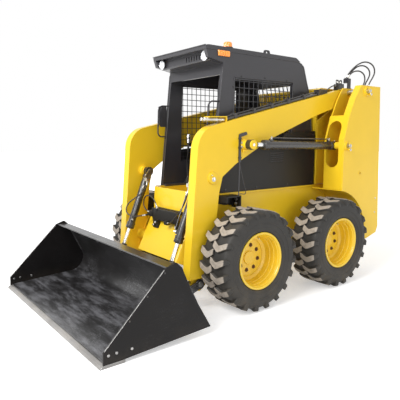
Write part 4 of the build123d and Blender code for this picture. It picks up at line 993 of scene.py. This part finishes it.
def cushionPlan(u, v, deep):
    # rounded plan whose sides pull in between the corners
    return (seatSettings["width"] * u * math.sqrt(1 - 0.10 * v * v) * (1 - 0.025 * (1 - v * v)),
            deep * v * math.sqrt(1 - 0.10 * u * u) * (1 - 0.020 * (1 - u * u)))


def cushionShape(place, deep, thick, acrossU, acrossV):
    # crowned closed form with bolsters, and sewn channels that sink
    s = seatSettings
    last = s["steps"]
    grid, points, faces = {}, [], []
    for top in (1, -1):
        for i in range(last + 1):
            for j in range(last + 1):
                u, v = -1 + 2 * i / last, -1 + 2 * j / last
                rise = pillow(u, v, 8, 0.45)
                h = thick / 2
                if top > 0:
                    h += s["crown"] * (1 - u * u) * (1 - v * v)
                    h += s["bolster"] * math.exp(-((abs(u) - 0.80) / 0.16) ** 2)
                    h -= sum(7.5 * math.exp(-((w - at) / 0.022) ** 2) for w, line in ((u, acrossU), (v, acrossV))
                             for at in line)
                edge = i in (0, last) or j in (0, last)
                key = (0 if edge else top, i, j)
                if key not in grid:
                    grid[key] = len(points)
                    points.append((*cushionPlan(u, v, deep), 0.0 if edge else top * h * rise))
        for i in range(last):
            for j in range(last):
                corners = [(i, j), (i + 1, j), (i + 1, j + 1), (i, j + 1)][::top]
                faces.append([grid.get((top, *at), grid.get((0, *at))) for at in corners])
    shape = Shape()
    shape.add(points, faces, place)
    return shape


def makeSeat():
    s = seatSettings
    for name, seam, middle, lean, deep, thick, acrossU, acrossV in s["pads"]:
        place = Matrix.Translation(middle) @ Matrix.Rotation(math.radians(lean), 4, "X")
        piece = cushionShape(place, deep, thick, acrossU, acrossV).make(name, "seat_vinyl", "chassis", bend=60,
                                                                        replaced=["seat"])
        line = []
        for u, v in ring(96):
            u, v = (math.copysign(abs(w) ** 0.42, w) for w in (u, v))
            m = max(abs(u), abs(v))
            line.append(place @ Vector((*cushionPlan(u / m, v / m, deep), 0)))
        piping = Shape()
        piping.tube(line + line[:2], s["piping"], count=8, ends=False)
        piping.make(seam, "black_plastic", "chassis", slot="seat_vinyl")
    # pan, slides, side hinges and pedestal
    base = Shape()
    base.block((-205, 140, 921), (205, 600, 932))
    base.block((-190, 160, 932), (190, 580, 990), 10)
    for side, hand in sides:
        base.block((side * 150 - 16, 110, 990), (side * 150 + 16, 600, 1008))
        base.block((side * 237.5 - 3.5, 480, 1010), (side * 237.5 + 3.5, 640, 1150))
    base.block((-215, 115, 1008), (215, 560, 1030), 6)
    base.block((-190, 655, 1130), (190, 672, 1580), 6)
    base.make("seatBase", "black_plastic", "chassis", slot="seat_vinyl", replaced=["seat"])


def makeControlDetails():
    knobs, boots, rests = newShapes(3)
    for side, hand in sides:
        # rubber boot in rings over the lever's foot
        rows = [(40, 0), (40, 6)]
        for i in range(5):
            rows += [(34 - i * 4, 8 + i * 10), (29 - i * 4, 14 + i * 10)]
        boots.turn(rows + [(10.5, 62)], ((side * 323, 10, 920.7), (0, 0, 1)))
        way = Vector((-side * 12, -8, 70)).normalized()
        top = Vector((side * 226, -52, 1300)) + way * 84
        knobs.turn(((17.2, -30), (18.2, -24), (18.2, -4), (15, 3), (7, 6), (0.4, 6.4)), (top, way))
        for i in range(4):
            knobs.turn(((17.2, -2.6), (18.4, 0), (17.2, 2.6)), (top - way * (72 - i * 11), way), ends=False)
        knobs.turn(((5, 0), (5, 3.5), (3.5, 4.5)), (top - way * 16 + Vector((0, -17.5, 0)), (0, -1, 0)), 14)
        # armrest and its post behind the lever
        x = side * 285
        rests.tube([(x, 560, 1300), (x, 500, 1262), (x, 360, 1252), (x, 220, 1250)], 13, count=14)
        rests.hull([(x + dx, y, z) for dx in (-26, 26) for y,
                    z in ((210, 1262), (225, 1288), (460, 1292), (475, 1266))])
        rests.block((x - 8, 548, 1010), (x + 8, 574, 1312), 4)
        rests.block((side * 241, 548, 1010), (side * 293, 574, 1034), 4)
    boots.make("leverBoots", "hose_rubber", "chassis")
    knobs.make("leverKnobs", "chromeTrim", "chassis", slot="rod_chrome")
    rests.make("armrests", "black_plastic", "chassis")


makeCabTrim()
makeLamps()
makeSeat()
makeControlDetails()
print("cab ready")


# engine bay, doors and the frame's small fittings

baySettings = {
    "panelBolts": ((-160, 925), (-140, 1185), (200, 925), (460, 1255), (600, 1375), (940, 925), (955, 1385),
                   (600, 925)),
    "hoodHandle": ((-70, 1478, 1700), (-70, 1503, 1703), (-30, 1504.5, 1704), (30, 1504.5, 1704), (70, 1503, 1703),
                   (70, 1478, 1700)),
    "doorHandle": ((-365, 1534, 722), (-365, 1553, 728), (-365, 1553, 772), (-365, 1534, 778)),
    "fan": (620, 1300),
}


def makeBayFittings():
    b = baySettings
    plain, latches, screws, handle, hoodScrews, plate, bolts, panels = newShapes(8)
    # door: recessed handle, gasket and screws; hood: handle at its rear edge
    plain.block((-390, 1528.5, 700), (-270, 1536, 800), 4)
    plain.make("doorPlate", "black_plastic", "rear_door")
    latches.tube(b["doorHandle"], 5.5)
    latches.turn(((13, 0), (13, 4), (10, 6), (0, 6.2)), ((-310, 1536, 750), (0, 1, 0)), 24)
    latches.make("doorLatch", "zinc_steel", "rear_door")
    for x in (-400, 400):
        for z in (400, 1370):
            screws.bolt((x, 1528.2, z), (0, 1, 0), 7)
    for k in range(9):
        screws.tube([(x, 1529, 908.5 + k * 40) for x in (-276, 0, 276)], 2.2, count=6)
    screws.make("doorScrews", "yellow_paint", "rear_door")
    handle.tube(b["hoodHandle"], 6.5)
    for x in (-70, 70):
        handle.turn(((14, -1), (14, 3), (10, 5)), ((x, 1480, 1700), (0, 1, 0.07)), 20)
    handle.make("hoodHandle", "black_plastic", "hood")
    for x in (-360, -120, 120, 360):
        for y in (1085, 1420):
            hoodScrews.bolt((x, y, 1834.1), (0, 0, 1), 6.5)
    hoodScrews.make("hoodScrews", "zinc_steel", "hood")
    # frame: plate and bolts of the prop's bracket, axle flange bolts
    plate.block((440.5, -95, 778), (556, -85, 884), 2)
    plate.block((440.5, -127.5, 872.5), (556, -85, 884), 2)
    plate.block((440.5, -127.5, 795), (452, -85, 871.5), 2)
    plate.make("propPlate", "panelBlack", "chassis", slot="black_paint")
    for z in (850, 812):
        bolts.bolt((500, -95.2, z), (0, -1, 0), 11)
    for axleY, end in tyreSettings["axles"]:
        for side, hand in sides:
            for u, v in ring(8, 88):
                bolts.bolt((side * 456.2, axleY + u, 404 + v), (side, 0, 0), 7.8)
    bolts.make("frameBolts", "zinc_steel", "chassis")
    for side, hand in sides:
        x = side * 438.3
        for y, z in b["panelBolts"]:
            panels.bolt((x, y, z), (side, 0, 0), 6.5)
        # louvre hoods over the panel's slots
        for z in range(1144, 1217, 18):
            panels.strips([[(x, y, z + 6.5), (x + side * deep, y, z + 3.5), (x + side * deep, y, z - 1.5),
                            (x, y, z + 4.2)]
                           for y, deep in ((364, 0.5), (370, 6), (534, 6), (540, 0.5))])
    panels.make("panelLouvres", "darkBolt", "chassis", slot="black_paint")


def makeEngine():
    iron, parts = newShapes(2)
    # ribbed sump and head round the block, air filter and muffler over it
    for y in range(670, 1231, 70):
        for side in (-1, 1):
            iron.block((side * 272, y, 360), (side * 259, y + 22, 800), 4)
    iron.block((-150, 700, 860), (150, 1220, 955), 20)
    for i in range(4):
        iron.turn(((26, 0), (26, 20), (18, 30)), ((0, 760 + i * 130, 955), (0, 0, 1)), 24)
    for x in (-205, 205):
        iron.turn(((46, 0), (52, 10), (52, 300), (46, 310)), ((x, 800, 925), (0, 1, 0)))
    iron.make("engineRibs", "engine_iron", "chassis")
    # fan behind the block: shroud, eight blades and a hub
    z, y = baySettings["fan"]
    parts.turn(((150, 0), (155, 8), (155, 30), (120, 34), (118, 6)), ((0, y - 19.5, z), (0, 1, 0)), 48)
    for c, s in ring(8):
        parts.hull([(reach * c + dx * s, y + dy + dx * lean, z + reach * s - dx * c)
                    for reach, wide, lean in ((30, 12, 0), (110, 26, 0.3)) for dx in (-wide, wide) for dy in (0, 6)])
    parts.turn(((34, 0), (34, 20), (22, 26)), ((0, y - 10, z), (0, 1, 0)), 24)
    parts.make("engineFan", "black_plastic", "chassis")


makeBayFittings()
makeEngine()
print("engine bay ready")


# step: teeth along the treads, bolts; cross member's welds; couplers and pipe fittings

stepSettings = {
    "teeth": 33,
    "pitch": 11.8,
    "rows": (-498, -437),
    "lugs": ((-180, -102), (169, 213)),
    "clips": (-150, 60, 270, 480, 690),
    # (point, way, size, washer) on the arm's pipes
    "nuts": (((499, 1190, 1858), (0, -1, 0), 10.5), ((508, 1020, 1797), (0, 1, 0.35), 9.5)),
}


def makeStepFittings():
    s = stepSettings
    teeth, bolts, welds, collars, pipes, dark = newShapes(6)
    for i in range(s["teeth"]):
        x = -176 + i * s["pitch"]
        for y in s["rows"]:
            teeth.taper((x, x + 8.6, y, y + 4.5, 730), (x + 3, x + 5.6, y + 0.8, y + 3.6, 737.2))
    teeth.make("stepTeeth", "black_paint", "lift_arms")
    for x0, x1 in s["lugs"]:
        for x, z in ((x0 + 22, 580), (x1 - 22, 606)):
            bolts.bolt((x, -498.2, z), (0, -1, 0), 8.5)
    # fittings on the right end's block
    for y, z in ((-486, 684), (-462, 668)):
        bolts.bolt((-224.3, y, z), (-1, 0, 0), washer=False)
    bolts.turn(((13, 0), (13, 6), (9, 9), (9, 18)), ((-104, -489, 735), (0, 0, 1)), 18)
    bolts.make("stepBolts", "zinc_steel", "lift_arms")
    for side, hand in sides:
        welds.bead((side * 473.5, -430, 440), 52, 3.5)
    welds.make("crossWelds", "yellow_paint", "lift_arms")
    # couplers: collars and dust caps on their fronts
    for x in (505, 540):
        place = facing((x, -300, 1495), (0, -1, 0))
        collars.turn(((15.6, 42), (17.2, 44), (17.2, 56), (15.6, 58)), place, 30, ends=False)
        for h in (74, 86, 98, 110):
            collars.turn(((15.3, h), (16.6, h + 3), (15.3, h + 6)), place, 30, ends=False)
        collars.turn(((12.5, 150), (14.2, 152), (14.2, 168.5), (11, 171.2), (6, 171.6), (5.8, 166)), place, 30,
                     ends=False)
        collars.bolt((x, -276.8, 1495), (0, 1, 0), 12.5, washer=False)
    collars.make("couplerCollars", "zinc_steel", "lift_arms")
    for y in s["clips"]:
        dark.bolt((509, y + 13, 1875.2 + 0.230 * (y - 1257)), (0, -0.22, 1), 7)
    dark.bolt((512, 950, 1804.1), (0, 0, 1), 8)
    dark.make("pipeClipBolts", "darkBolt", "lift_arms", slot="cylinder_paint")
    for point, way, size in s["nuts"]:
        pipes.bolt(point, way, size, washer=False)
    for y in (1220, 1272):
        pipes.turn(((14.5, 0), (15.2, 2), (15.2, 10), (14.5, 12)), ((499, y, 1885), (0, 0, 1)), 26, ends=False)
        pipes.bolt((499, y, 1912.2), (0, 0, 1), 9.5, washer=False)
    pipes.make("pipeFittings", "zinc_steel", "lift_arms")


makeStepFittings()
print("step and lines ready")


# floor and lights

studio = {
    "floor": linear(240, 240, 240),
    "nearGlow": 0.42,
    "worldStrength": 0.69,
    # name, place, size, power
    "lights": (("key", (1.5, -6.5, 5.5), 4.0, 600), ("fill", (7.0, 0.4, 1.1), 3.0, 42)),
}


def makeFloor():
    mesh = bpy.data.meshes.new("floor")
    mesh.from_pydata([(-40, -40, -0.0005), (40, -40, -0.0005), (40, 40, -0.0005), (-40, 40, -0.0005)], [],
                     [(0, 1, 2, 3)])
    floor = bpy.data.objects.new("floor", mesh)
    bpy.context.collection.objects.link(floor)
    material, b, shader = startMaterial("studioFloor")
    # seen straight or in a reflection the floor fades to white away from the machine, and keeps its shadow
    far = b.use("ShaderNodeVectorMath", {0: b.spot()}, "Value", operation="LENGTH")
    glow = b.math("ADD", studio["nearGlow"], b.math("MULTIPLY", b.ramp(far, 2.2, 8.0), 1 - studio["nearGlow"]))
    b.fill(shader, {
        "Base Color": studio["floor"], "Roughness": 0.9, "Emission Color": (1, 1, 1, 1),
        "Emission Strength": b.math("MULTIPLY", b.seenRays(), glow),
    })
    mesh.materials.append(material)


def makeLights():
    world = bpy.data.worlds.new("studio")
    bpy.context.scene.world = world
    world.use_nodes = True
    b = NodeBoard(world.node_tree)
    ground = next(n for n in world.node_tree.nodes if n.type == "BACKGROUND")
    strength = studio["worldStrength"]
    seen = b.math("MULTIPLY", b.seenRays(), 1 - strength)
    b.fill(ground, {"Color": (1, 1, 1, 1), "Strength": b.math("ADD", strength, seen)})
    for name, place, size, power in studio["lights"]:
        light = bpy.data.lights.new(name, "AREA")
        light.size = size
        light.energy = power
        lamp = bpy.data.objects.new(name, light)
        lamp.location = place
        lamp.rotation_euler = (Vector((0, 0, 0.8)) - Vector(place)).to_track_quat("-Z", "Y").to_euler()
        bpy.context.collection.objects.link(lamp)


makeFloor()
makeLights()
print("studio ready")
